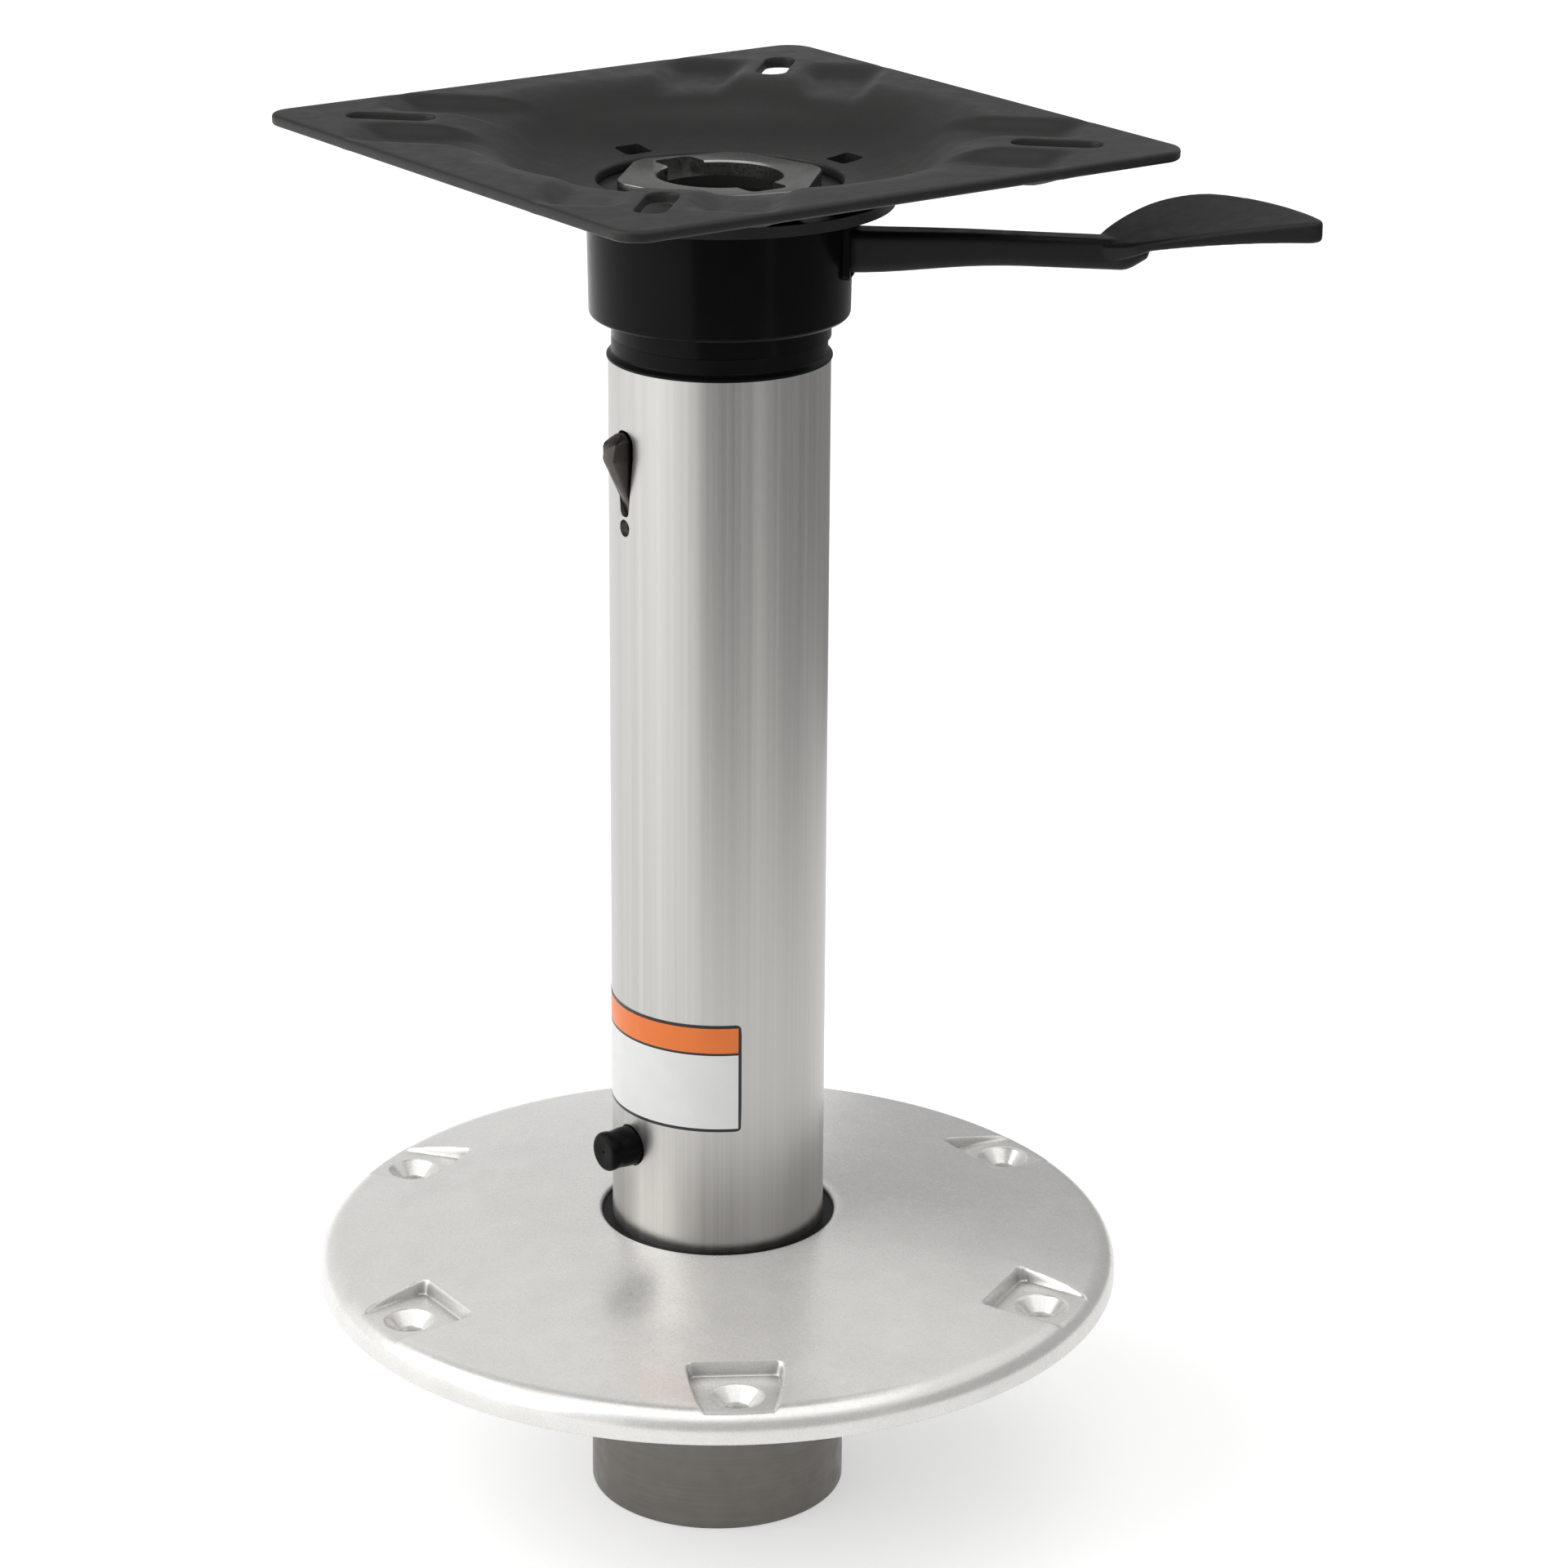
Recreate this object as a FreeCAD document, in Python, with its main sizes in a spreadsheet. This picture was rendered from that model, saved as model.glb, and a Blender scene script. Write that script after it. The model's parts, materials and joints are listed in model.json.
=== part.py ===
import FreeCAD, Part
import math
import os
import Sketcher

# Boat seat pedestal in millimetres.
# The origin is on the post axis, in the deck plane. +Z is up and +X points along the lever.

doc = FreeCAD.newDocument("boat_seat_pedestal")
sheet = doc.addObject("Spreadsheet::Sheet", "Sizes")


class Size:
    """A length or an angle with the sheet expression that gives it."""

    def __init__(self, value, text):
        self.value = float(value)
        self.text = text

    def __add__(self, other):
        other = as_size(other)
        return Size(self.value + other.value, f"({self.text} + {other.text})")

    def __sub__(self, other):
        other = as_size(other)
        return Size(self.value - other.value, f"({self.text} - {other.text})")

    def __mul__(self, other):
        other = as_size(other)
        return Size(self.value * other.value, f"({self.text} * {other.text})")

    def __truediv__(self, other):
        other = as_size(other)
        return Size(self.value / other.value, f"({self.text} / {other.text})")

    def __neg__(self):
        return Size(-self.value, f"(0 - {self.text})")

    __radd__ = __add__
    __rmul__ = __mul__

    def __rsub__(self, other):
        return as_size(other) - self


def as_size(number):
    """Takes a plain number along with the named ones."""
    if isinstance(number, Size):
        return number
    return Size(number, f"({float(number):.6f})")


def cos_of(angle):
    return Size(math.cos(math.radians(angle.value)), f"cos({angle.text})")


def sin_of(angle):
    return Size(math.sin(math.radians(angle.value)), f"sin({angle.text})")


def root_of(size):
    return Size(math.sqrt(size.value), f"sqrt({size.text})")


class Table:
    """The driving sizes by name, each also written into one cell of the sheet."""

    def __init__(self, numbers):
        for row, (alias, number) in enumerate(numbers.items(), 1):
            sheet.set(f"A{row}", alias.replace("_", " "))
            sheet.set(f"B{row}", str(number))
            sheet.setAlias(f"B{row}", alias)
            setattr(self, alias, Size(number, f"Sizes.{alias}"))
        doc.recompute()


driving_sizes = {
    # Deck plate casting
    "base_diameter": 228.6,
    "base_edge_height": 9.0,
    "base_lip_height": 18.2,
    "base_rim_round": 6.5,
    "base_lip_round": 1.2,
    "base_turn": 43.0,
    "bolt_edge": 12.7,
    "bolt_hole": 7.0,
    "bolt_sink": 14.3,
    "recess_floor": 8.4,
    "recess_width": 27.8,
    "recess_end_width": 21.0,
    "recess_reach": 12.6,
    "hollow_wall": 7.5,
    "hollow_margin": 3.0,
    "hollow_depth": 6.0,
    "rib_width": 4.0,
    # Socket below the deck
    "bush_wall": 2.95,
    "socket_wall": 3.4,
    "socket_depth": 67.2,
    "socket_cover": 4.2,
    "socket_shoulder": 0.8,
    "stop_height": 2.9,
    "stop_inset": 5.85,
    "bush_set_back": 1.4,
    "bush_foot_height": 7.0,
    "running_gap": 0.1,
    # Post
    "post_diameter": 60.3,
    "post_wall": 2.3,
    "post_top": 270.0,
    "foot_flange": 3.0,
    "foot_spigot": 9.0,
    "foot_wall": 3.0,
    "rest_gap": 0.3,
    # Snap button, V spring and locking tooth
    "latch_turn": 225.0,
    "button_height": 44.5,
    "button_diameter": 11.3,
    "button_reach": 9.4,
    "button_round": 0.8,
    "side_gap": 0.35,
    "tooth_depth": 24.0,
    "tooth_diameter": 8.0,
    "tooth_reach": 5.2,
    "spring_gauge": 1.2,
    "spring_width": 12.0,
    "spring_over": 31.5,
    "spring_tail": 8.0,
    "bend_radius": 9.0,
    # Collar on top of the post
    "collar_plug_depth": 58.0,
    "collar_overhang": 1.05,
    "collar_flange_lip": 1.7,
    "collar_flange_height": 0.8,
    "collar_cove": 1.6,
    "collar_neck_inset": 0.65,
    "collar_neck_height": 4.7,
    "collar_journal_step": 6.0,
    "collar_journal_height": 15.5,
    "plug_gap": 0.1,
    # Sprung catch in the slot near the top of the post
    "catch_turn": 222.0,
    "catch_drop": 44.6,
    "catch_height": 23.2,
    "catch_width": 7.2,
    "catch_foot_width": 4.4,
    "catch_gauge": 1.2,
    "catch_reach": 5.0,
    "catch_room": 5.05,
    "slot_over": 4.0,
    "slot_foot": 5.6,
    "slot_width": 8.2,
    "rivet_hole": 4.8,
    "rivet_shank": 2.4,
    "rivet_head": 4.2,
    # Spindle
    "bearing_wall": 3.6,
    "spindle_wall": 2.9,
    "spindle_tail": 6.4,
    "washer_margin": 1.85,
    "washer_thickness": 1.6,
    "ring_thickness": 1.1,
    "ring_width": 3.2,
    "ring_seat": 1.0,
    # Seat plate
    "plate_side": 177.8,
    "plate_gauge": 3.0,
    "plate_corner": 8.0,
    "bowl_depth": 13.0,
    "bowl_floor_inset": 10.0,
    "bowl_brim_inset": 10.9,
    "bowl_opening_inset": 14.0,
    "scoop_offset": 19.5,
    "scoop_near": 0.27,
    "scoop_far": 0.54,
    "scoop_radius": 21.0,
    "scoop_depth": 2.8,
    "seat_slot_inset": 25.4,
    "seat_slot_length": 24.4,
    "seat_slot_width": 8.4,
    "window_gap": 2.0,
    "window_length": 11.5,
    "window_width": 8.3,
    # Hub and carrier under the seat plate
    "hub_margin": 3.2,
    "hub_rise": 5.0,
    "carrier_overhang": 11.2,
    "carrier_gauge": 3.0,
    # Head housing
    "head_height": 36.5,
    "housing_overhang": 5.65,
    "housing_draft": 0.3,
    "housing_wall": 2.5,
    "housing_mouth_rise": 0.1,
    "housing_bend_height": 6.4,
    "housing_mouth_gap": 0.6,
    "housing_roof_width": 9.8,
    "gate_width": 15.5,
    "gate_drop": 21.5,
    "gate_height": 20.3,
    "gate_frame": 2.2,
    "gate_reach": 1.6,
    "screw_diameter": 4.0,
    "screw_head": 7.0,
    "screw_inset": 6.3,
    "screw_turn": 60.0,
    # Brake
    "drum_wall": 2.0,
    "drum_height": 14.0,
    "lining_wall": 1.2,
    "lining_height": 9.5,
    "shoe_wall": 1.2,
    "shoe_height": 13.5,
    "shoe_half_angle": 34.0,
    "shoe_flange": 2.8,
    "shoe_flange_gap": 2.3,
    "fork_height": 2.7,
    "fork_width": 7.0,
    # Lever
    "pivot_inset": 8.8,
    "pivot_drop": 11.6,
    "pin_diameter": 5.0,
    "bracket_gap": 13.0,
    "bracket_gauge": 2.5,
    "bracket_width": 9.0,
    "bracket_drop": 4.2,
    "arm_width": 5.0,
    "arm_height": 5.6,
    "arm_short": 16.0,
    "arm_eye": 10.0,
    "arm_rise": 1.8,
    "finger_shift": 0.9,
    "finger_thickness": 1.4,
    "fork_gap": 0.4,
    "fork_lug": 1.3,
    "coil_wire": 1.3,
    "stem_inset": 1.3,
    "stem_waist": 35.5,
    "stem_length": 74.5,
    "stem_root_height": 11.4,
    "stem_middle_height": 8.8,
    "stem_end_height": 8.4,
    "stem_root_width": 11.5,
    "stem_end_width": 10.0,
    "stem_rise": 6.2,
    "stem_round": 2.4,
    "paddle_length": 52.3,
    "paddle_near": 9.3,
    "paddle_far": 21.8,
    "paddle_tilt": 8.7,
    "paddle_rise": 8.6,
    "paddle_thin": 2.6,
    "paddle_thick": 6.2,
    "paddle_tip_round": 2.4,
    "paddle_outer_bend": 103.0,
    "paddle_crown_bend": 18.5,
    "paddle_root_bend": 38.0,
    "paddle_arch": 310.0,
}
bolt_count = 6
dim = Table(driving_sizes)

# Places worked out from the driving sizes, from the deck plate up
bolt_circle = dim.base_diameter - dim.bolt_edge * 2
post_radius = dim.post_diameter / 2
post_bore = post_radius - dim.post_wall
socket_bore = post_radius + dim.bush_wall
socket_radius = socket_bore + dim.socket_wall
socket_neck = socket_radius - dim.socket_shoulder
bush_bore = post_radius + dim.running_gap
hollow_inner = socket_radius + dim.hollow_wall
hollow_outer = bolt_circle / 2 - dim.recess_reach - dim.hollow_margin
stop_radius = post_bore - dim.stop_inset
stop_top = dim.stop_height - dim.socket_depth
foot_bottom = stop_top + dim.rest_gap
post_bottom = foot_bottom + dim.foot_flange
tooth_height = -dim.tooth_depth
spring_top = dim.button_height + dim.spring_over
plug_radius = post_bore - dim.plug_gap
plug_bottom = dim.post_top - dim.collar_plug_depth
collar_flange_radius = post_radius + dim.collar_overhang
collar_neck_radius = post_radius - dim.collar_neck_inset
collar_journal_radius = collar_neck_radius - dim.collar_journal_step
catch_pivot_height = dim.post_top - dim.catch_drop
catch_top = catch_pivot_height + dim.catch_height
catch_seat_radius = post_bore - dim.catch_room
slot_top = catch_top + dim.slot_over
slot_bottom = catch_pivot_height + dim.slot_foot
spindle_radius = collar_journal_radius - dim.bearing_wall
spindle_bore = spindle_radius - dim.spindle_wall
spindle_bottom = plug_bottom - dim.spindle_tail
journal_bore = spindle_radius + dim.running_gap
washer_radius = post_bore - dim.washer_margin
flange_top = dim.post_top + dim.collar_flange_height
neck_top = flange_top + dim.collar_neck_height
journal_top = neck_top + dim.collar_journal_height
carrier_under = neck_top + dim.head_height
carrier_top = carrier_under + dim.carrier_gauge
bowl_floor = carrier_top + dim.plate_gauge
plate_top = bowl_floor + dim.bowl_depth
plate_under = plate_top - dim.plate_gauge
housing_radius = post_radius + dim.housing_overhang
housing_bore = housing_radius - dim.housing_wall
housing_mouth_height = neck_top + dim.housing_mouth_rise
housing_edge_height = housing_mouth_height + dim.housing_bend_height
mouth_radius = collar_neck_radius + dim.housing_mouth_gap
roof_radius = housing_radius - dim.housing_roof_width
screw_radius = housing_radius - dim.screw_inset
gate_bottom = carrier_under - dim.gate_drop
carrier_radius = housing_radius + dim.carrier_overhang
bowl_floor_radius = carrier_radius - dim.bowl_floor_inset
bowl_opening_radius = carrier_radius - dim.bowl_opening_inset
bowl_brim_radius = dim.plate_side / 2 - dim.bowl_brim_inset
window_inner = bowl_opening_radius + dim.window_gap
hub_corner_radius = bowl_opening_radius - dim.hub_margin
scoop_inner = dim.plate_side * dim.scoop_near
scoop_outer = dim.plate_side * dim.scoop_far
slot_spacing = dim.plate_side - dim.seat_slot_inset * 2
drum_radius = collar_journal_radius + dim.drum_wall
lining_inner = drum_radius + dim.rest_gap
lining_outer = lining_inner + dim.lining_wall
shoe_outer = lining_outer + dim.shoe_wall
shoe_bottom = neck_top + dim.rest_gap
shoe_top = shoe_bottom + dim.shoe_height
shoe_flange_radius = housing_bore - dim.shoe_flange_gap
pivot_reach = housing_radius - dim.pivot_inset
pivot_height = carrier_under - dim.pivot_drop
arm_low = pivot_height + dim.arm_rise - dim.arm_height / 2
stem_start = housing_radius - dim.stem_inset
stem_middle = stem_start + dim.stem_waist
stem_end = stem_start + dim.stem_length
stem_top = pivot_height + dim.stem_rise
arm_length = stem_end - dim.arm_short - pivot_reach


# Helpers for bodies, sketches and features

def new_body(name):
    body = doc.addObject("PartDesign::Body", name)
    body.Label = name
    return body


def origin_item(body, role):
    return [item for item in body.Origin.OriginFeatures if item.Role == role][0]


def new_sketch(body, role, name, offset=None):
    """A sketch on one of the body's own origin planes, moved along its normal by offset."""
    sketch = body.newObject("Sketcher::SketchObject", name)
    sketch.AttachmentSupport = [(origin_item(body, role), "")]
    sketch.MapMode = "FlatFace"
    if offset is not None:
        sketch.AttachmentOffset.Base.z = offset.value
        sketch.setExpression("AttachmentOffset.Base.z", offset.text)
    return sketch


def free_sketch(name, axis, angle):
    """A sketch that stands by itself, turned from the XY plane."""
    sketch = doc.addObject("Sketcher::SketchObject", name)
    sketch.Placement.Rotation = FreeCAD.Rotation(FreeCAD.Vector(*axis), angle)
    return sketch


def pin_point(sketch, line, end, x, y, label):
    """Fixes one end of a line by its two named coordinates."""
    for axis, size in (("DistanceX", x), ("DistanceY", y)):
        size = as_size(size)
        index = sketch.addConstraint(Sketcher.Constraint(axis, -1, 1, line, end, size.value))
        name = f"{axis[-1].lower()}{label}"
        sketch.renameConstraint(index, name)
        if "Sizes." in size.text:
            sketch.setExpression(f"Constraints.{name}", size.text)


def arc_between(start, end, radius, left):
    """The arc of the given radius from start to end, whose centre lies left or right of the chord."""
    chord = end - start
    half = chord.Length / 2
    normal = FreeCAD.Vector(-chord.y, chord.x, 0).normalize()
    rise = math.sqrt(max(radius * radius - half * half, 0.0))
    centre = start + chord * 0.5 + normal * (rise if left else -rise)
    first, second = (start, end) if left else (end, start)
    first_angle = math.atan2(first.y - centre.y, first.x - centre.x)
    second_angle = math.atan2(second.y - centre.y, second.x - centre.x)
    circle = Part.Circle(centre, FreeCAD.Vector(0, 0, 1), radius)
    return Part.ArcOfCircle(circle, first_angle, second_angle)


def outline(sketch, corners, arcs=None):
    """A closed outline through named corners. arcs maps a corner's index to the radius and side
    of the arc that leaves it; every other stretch is straight."""
    arcs = arcs or {}
    first_edge = sketch.GeometryCount
    count = len(corners)
    points = [FreeCAD.Vector(as_size(x).value, as_size(y).value, 0) for x, y in corners]
    starts = []
    for index in range(count):
        start = points[index]
        end = points[(index + 1) % count]
        if index in arcs:
            radius, left = arcs[index]
            sketch.addGeometry(arc_between(start, end, radius.value, left), False)
            starts.append(1 if left else 2)
        else:
            sketch.addGeometry(Part.LineSegment(start, end), False)
            starts.append(1)
    for index in range(count):
        after = (index + 1) % count
        joint = Sketcher.Constraint("Coincident", first_edge + index, 3 - starts[index],
                                    first_edge + after, starts[after])
        sketch.addConstraint(joint)
    for index, (x, y) in enumerate(corners):
        pin_point(sketch, first_edge + index, starts[index], x, y, first_edge + index)
    for index, (radius, left) in arcs.items():
        bend = sketch.addConstraint(Sketcher.Constraint("Radius", first_edge + index, radius.value))
        name = f"bend{first_edge + index}"
        sketch.renameConstraint(bend, name)
        sketch.setExpression(f"Constraints.{name}", radius.text)
    return sketch


def circle(sketch, x, y, radius):
    index = sketch.addGeometry(
        Part.Circle(FreeCAD.Vector(as_size(x).value, as_size(y).value, 0),
                    FreeCAD.Vector(0, 0, 1), radius.value), False)
    pin_point(sketch, index, 3, x, y, index)
    bend = sketch.addConstraint(Sketcher.Constraint("Radius", index, radius.value))
    sketch.renameConstraint(bend, f"bend{index}")
    sketch.setExpression(f"Constraints.bend{index}", radius.text)
    return sketch


def revolve(body, corners, name, arcs=None, cut=False):
    """Turns an outline in the XZ plane about Z. Corners are given as radius and height."""
    sketch = new_sketch(body, "XZ_Plane", name + "_profile")
    outline(sketch, corners, arcs)
    kind = "PartDesign::Groove" if cut else "PartDesign::Revolution"
    feature = body.newObject(kind, name)
    feature.Profile = sketch
    feature.ReferenceAxis = (sketch, ["V_Axis"])
    feature.Angle = 360
    doc.recompute()
    return feature


def pad(body, sketch, length, name, both_sides=False):
    feature = body.newObject("PartDesign::Pad", name)
    feature.Profile = sketch
    feature.Midplane = both_sides
    feature.setExpression("Length", length.text)
    doc.recompute()
    return feature


def pocket(body, sketch, length, name, both_sides=False, upward=False):
    """Cuts from the sketch plane, downward unless told otherwise, and tests that it cut."""
    before = body.Tip.Shape.Volume
    feature = body.newObject("PartDesign::Pocket", name)
    feature.Profile = sketch
    feature.Midplane = both_sides
    feature.Reversed = upward
    feature.setExpression("Length", length.text)
    doc.recompute()
    if not feature.Shape.Volume < before:
        raise RuntimeError(f"{name} cuts nothing")
    return feature


def around(body, features, count, name):
    """Repeats features about Z."""
    pattern = body.newObject("PartDesign::PolarPattern", name)
    pattern.Originals = features
    pattern.Axis = (origin_item(body, "Z_Axis"), [""])
    pattern.Angle = 360
    pattern.Occurrences = count
    body.Tip = pattern
    doc.recompute()
    return pattern


def rounded(body, radius, wanted, name, kind="PartDesign::Fillet"):
    """Rounds the edges of the body's tip that the test picks."""
    base = body.Tip
    picked = [f"Edge{number}" for number, edge in enumerate(base.Shape.Edges, 1) if wanted(edge)]
    if not picked:
        raise RuntimeError(f"{name} finds no edge")
    feature = body.newObject(kind, name)
    feature.Base = (base, picked)
    feature.setExpression("Size" if kind.endswith("Chamfer") else "Radius", radius.text)
    doc.recompute()
    return feature


def ring_edge(radius, height):
    """A test for a circular edge about Z of the given radius and height."""
    def test(edge):
        curve = edge.Curve
        if not isinstance(curve, Part.Circle):
            return False
        on_axis = math.hypot(curve.Center.x, curve.Center.y) < 0.01
        return (on_axis and abs(curve.Radius - radius.value) < 0.01
                and abs(curve.Center.z - height.value) < 0.01)
    return test


def place(item, x=None, y=None, z=None):
    """Binds the item's position to named sizes."""
    for axis, size in (("x", x), ("y", y), ("z", z)):
        if size is None:
            continue
        size = as_size(size)
        setattr(item.Placement.Base, axis, size.value)
        item.setExpression(f"Placement.Base.{axis}", size.text)
    return item


def turn(item, angle, axis=(0, 0, 1)):
    """Binds the item's turn about an axis through its own position."""
    item.Placement.Rotation = FreeCAD.Rotation(FreeCAD.Vector(*axis), angle.value)
    item.setExpression("Placement.Rotation.Angle", angle.text)
    return item


def cylinder(name, radius, height, x=0, y=0, z=0, axis=None):
    """A cylinder from its base centre, along Z or along the named axis."""
    item = doc.addObject("Part::Cylinder", name)
    item.setExpression("Radius", as_size(radius).text)
    item.setExpression("Height", as_size(height).text)
    turns = {"X": ((0, 1, 0), 90), "Y": ((1, 0, 0), -90)}
    if axis:
        direction, angle = turns[axis]
        item.Placement.Rotation = FreeCAD.Rotation(FreeCAD.Vector(*direction), angle)
    return place(item, x, y, z)


def box(name, length, width, height, x, z, y=None):
    """A block from x and z upward, centred on y unless its low side is given."""
    item = doc.addObject("Part::Box", name)
    item.setExpression("Length", as_size(length).text)
    item.setExpression("Width", as_size(width).text)
    item.setExpression("Height", as_size(height).text)
    return place(item, x, -(as_size(width) / 2) if y is None else y, z)


def joined(name, parts):
    item = doc.addObject("Part::MultiFuse", name)
    item.Shapes = parts
    item.Refine = True
    doc.recompute()
    return item


def cut(name, base, tools):
    """Takes the tools away from the base one after another and tests that each one cuts."""
    for number, tool in enumerate(tools, 1):
        item = doc.addObject("Part::Cut", f"{name}_{number}")
        item.Base = base
        item.Tool = tool
        item.Refine = True
        doc.recompute()
        if item.Shape.isNull() or not item.Shape.Volume < base.Shape.Volume:
            raise RuntimeError(f"{tool.Name} cuts nothing from {name}")
        base = item
    return base


def common(name, parts):
    item = doc.addObject("Part::MultiCommon", name)
    item.Shapes = parts
    doc.recompute()
    return item


def extruded(name, sketch, direction, length, both_sides=True):
    item = doc.addObject("Part::Extrusion", name)
    item.Base = sketch
    item.DirMode = "Custom"
    item.Dir = FreeCAD.Vector(*direction)
    item.Solid = True
    item.Symmetric = both_sides
    item.setExpression("LengthFwd", length.text)
    doc.recompute()
    return item


def tube(name, outer, bore, low, high):
    """A plain turned sleeve."""
    body = new_body(name)
    revolve(body, [(bore, low), (outer, low), (outer, high), (bore, high)], name + "_turned")
    return body


def finish(item, name):
    """Gives the finished sub-part its label and lists it for export."""
    item.Label = name
    finished[name] = item
    return item


finished = {}


# Deck plate and socket

def make_base_flange():
    """A shallow cast dome with a lip over the socket tube, six screw recesses and ribs below."""
    body = new_body("flange_casting")
    rim = dim.base_diameter / 2
    lip_under = dim.base_lip_height - dim.socket_cover
    lead = dim.socket_shoulder + dim.rest_gap
    revolve(body, [(socket_bore, lip_under), (socket_neck, lip_under), (socket_neck, lead),
                   (socket_neck + lead, 0), (rim, 0), (rim, dim.base_edge_height),
                   (socket_bore, dim.base_lip_height)], "dome")
    rounded(body, dim.base_rim_round, ring_edge(rim, dim.base_edge_height), "rim_round")
    rounded(body, dim.base_lip_round, ring_edge(socket_bore, dim.base_lip_height), "lip_round")
    revolve(body, [(hollow_inner, 0), (hollow_outer, 0), (hollow_outer, dim.hollow_depth),
                   (hollow_inner, dim.hollow_depth)], "hollow", cut=True)
    bolt_radius = bolt_circle / 2
    recess_start = bolt_radius - dim.recess_reach
    recess_end = rim + 2
    sky = dim.base_lip_height + 5
    plan = new_sketch(body, "XY_Plane", "recess_plan", sky)
    half = dim.recess_width / 2
    end_half = dim.recess_end_width / 2
    bow = dim.recess_width * 2
    outline(plan, [(recess_start, -half), (recess_end, -end_half), (recess_end, end_half),
                   (recess_start, half)], {0: (bow, True), 2: (bow, True)})
    recess = pocket(body, plan, sky - dim.recess_floor, "screw_recess")
    sink_depth = (dim.bolt_sink - dim.bolt_hole) / 2
    profile = new_sketch(body, "XZ_Plane", "screw_profile")
    outline(profile, [(bolt_radius, -1), (bolt_radius + dim.bolt_hole / 2, -1),
                      (bolt_radius + dim.bolt_hole / 2, dim.recess_floor - sink_depth),
                      (bolt_radius + dim.bolt_sink / 2, dim.recess_floor),
                      (bolt_radius + dim.bolt_sink / 2, dim.recess_floor + 1),
                      (bolt_radius, dim.recess_floor + 1)])
    axis = profile.addGeometry(Part.LineSegment(FreeCAD.Vector(bolt_radius.value, -10, 0),
                                                FreeCAD.Vector(bolt_radius.value, 10, 0)), True)
    pin_point(profile, axis, 1, bolt_radius, -10, "low")
    pin_point(profile, axis, 2, bolt_radius, 10, "high")
    hole = body.newObject("PartDesign::Groove", "screw_hole")
    hole.Profile = profile
    hole.ReferenceAxis = (profile, ["Axis0"])
    hole.Angle = 360
    doc.recompute()
    around(body, [recess, hole], bolt_count, "screw_places")
    rib_plan = new_sketch(body, "XY_Plane", "rib_plan")
    rib_half = dim.rib_width / 2
    outline(rib_plan, [(hollow_inner - 1, -rib_half), (hollow_outer + 1, -rib_half),
                       (hollow_outer + 1, rib_half), (hollow_inner - 1, rib_half)])
    rib = pad(body, rib_plan, dim.hollow_depth + 1, "rib")
    around(body, [rib], bolt_count, "ribs")
    turn(body, dim.base_turn)
    return finish(body, "base_flange")


def latch_hole(name, radius, height, near, far):
    """A round hole along the latch's direction, from near to far."""
    hole = cylinder(name, radius, far - near, near, 0, height, "X")
    group = doc.addObject("Part::Compound", name + "_turned")
    group.Links = [hole]
    turn(group, dim.latch_turn)
    doc.recompute()
    return group


def make_socket():
    """The socket tube, its stop ring and the bush that the post slides in."""
    top = dim.base_lip_height - dim.socket_cover
    tooth_way = dim.tooth_diameter / 2 + dim.side_gap * 2
    wall = new_body("socket_wall")
    revolve(wall, [(socket_bore, -dim.socket_depth), (socket_radius, -dim.socket_depth), (socket_radius, 0),
                   (socket_neck, 0), (socket_neck, top), (socket_bore, top)], "socket_turned")
    window = latch_hole("socket_window", tooth_way, tooth_height, post_bore, socket_radius + 2)
    finish(cut("socket_cut", wall, [window]), "base_socket")
    finish(tube("stop_ring_turned", socket_bore, stop_radius, -dim.socket_depth, stop_top),
           "socket_stop")
    bush = tube("bush_turned", socket_bore, bush_bore, dim.bush_foot_height - dim.socket_depth,
                dim.base_lip_height - dim.bush_set_back)
    window = latch_hole("bush_window", tooth_way, tooth_height, post_bore, socket_radius + 2)
    finish(cut("bush_cut", bush, [window]), "socket_bushing")


# Post and its snap button

def catch_slot_plan(name, clearance):
    """The teardrop of the catch in its own frame, seen from outside: Y across and Z up."""
    sketch = free_sketch(name, (1, 1, 1), 120)
    half = dim.slot_width / 2 - clearance
    foot = dim.catch_foot_width / 2 - clearance
    shoulder = slot_top - dim.slot_width / 2
    outline(sketch, [(-half, shoulder), (-foot, slot_bottom + clearance),
                     (foot, slot_bottom + clearance), (half, shoulder), (half - 1, slot_top),
                     (-(half - 1), slot_top)])
    return sketch


def turned_group(name, parts, angle):
    """Carries pieces that were made along X round to their real place."""
    group = joined(name, parts) if len(parts) > 1 else doc.addObject("Part::Compound", name)
    if len(parts) == 1:
        group.Links = parts
    turn(group, angle)
    doc.recompute()
    return group


def make_post():
    """The straight tube with its two latch holes, the catch's slot and the rivet's hole."""
    wall = tube("post_wall_turned", post_radius, post_bore, post_bottom, dim.post_top)
    button_way = latch_hole("button_way", dim.button_diameter / 2 + dim.side_gap, dim.button_height,
                            post_bore - 4, post_radius + 4)
    tooth_way = latch_hole("tooth_way", dim.tooth_diameter / 2 + dim.side_gap, tooth_height,
                           post_bore - 4, post_radius + 4)
    slot = extruded("catch_slot", catch_slot_plan("catch_slot_plan", as_size(0)), (1, 0, 0),
                    post_radius + 10, both_sides=False)
    rivet_way = cylinder("rivet_way", dim.rivet_hole / 2, post_radius, post_bore - 4, 0,
                         catch_pivot_height, "X")
    catch_cuts = turned_group("catch_cuts", [slot, rivet_way], dim.catch_turn)
    finish(cut("post_cut", wall, [button_way, tooth_way, catch_cuts]), "post_tube")
    foot = new_body("foot_turned")
    inner = plug_radius - dim.foot_wall
    revolve(foot, [(inner, foot_bottom), (post_radius - dim.running_gap, foot_bottom),
                   (post_radius - dim.running_gap, post_bottom), (plug_radius, post_bottom),
                   (plug_radius, post_bottom + dim.foot_spigot), (inner, post_bottom + dim.foot_spigot)],
             "foot")
    finish(foot, "post_foot_ring")


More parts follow.
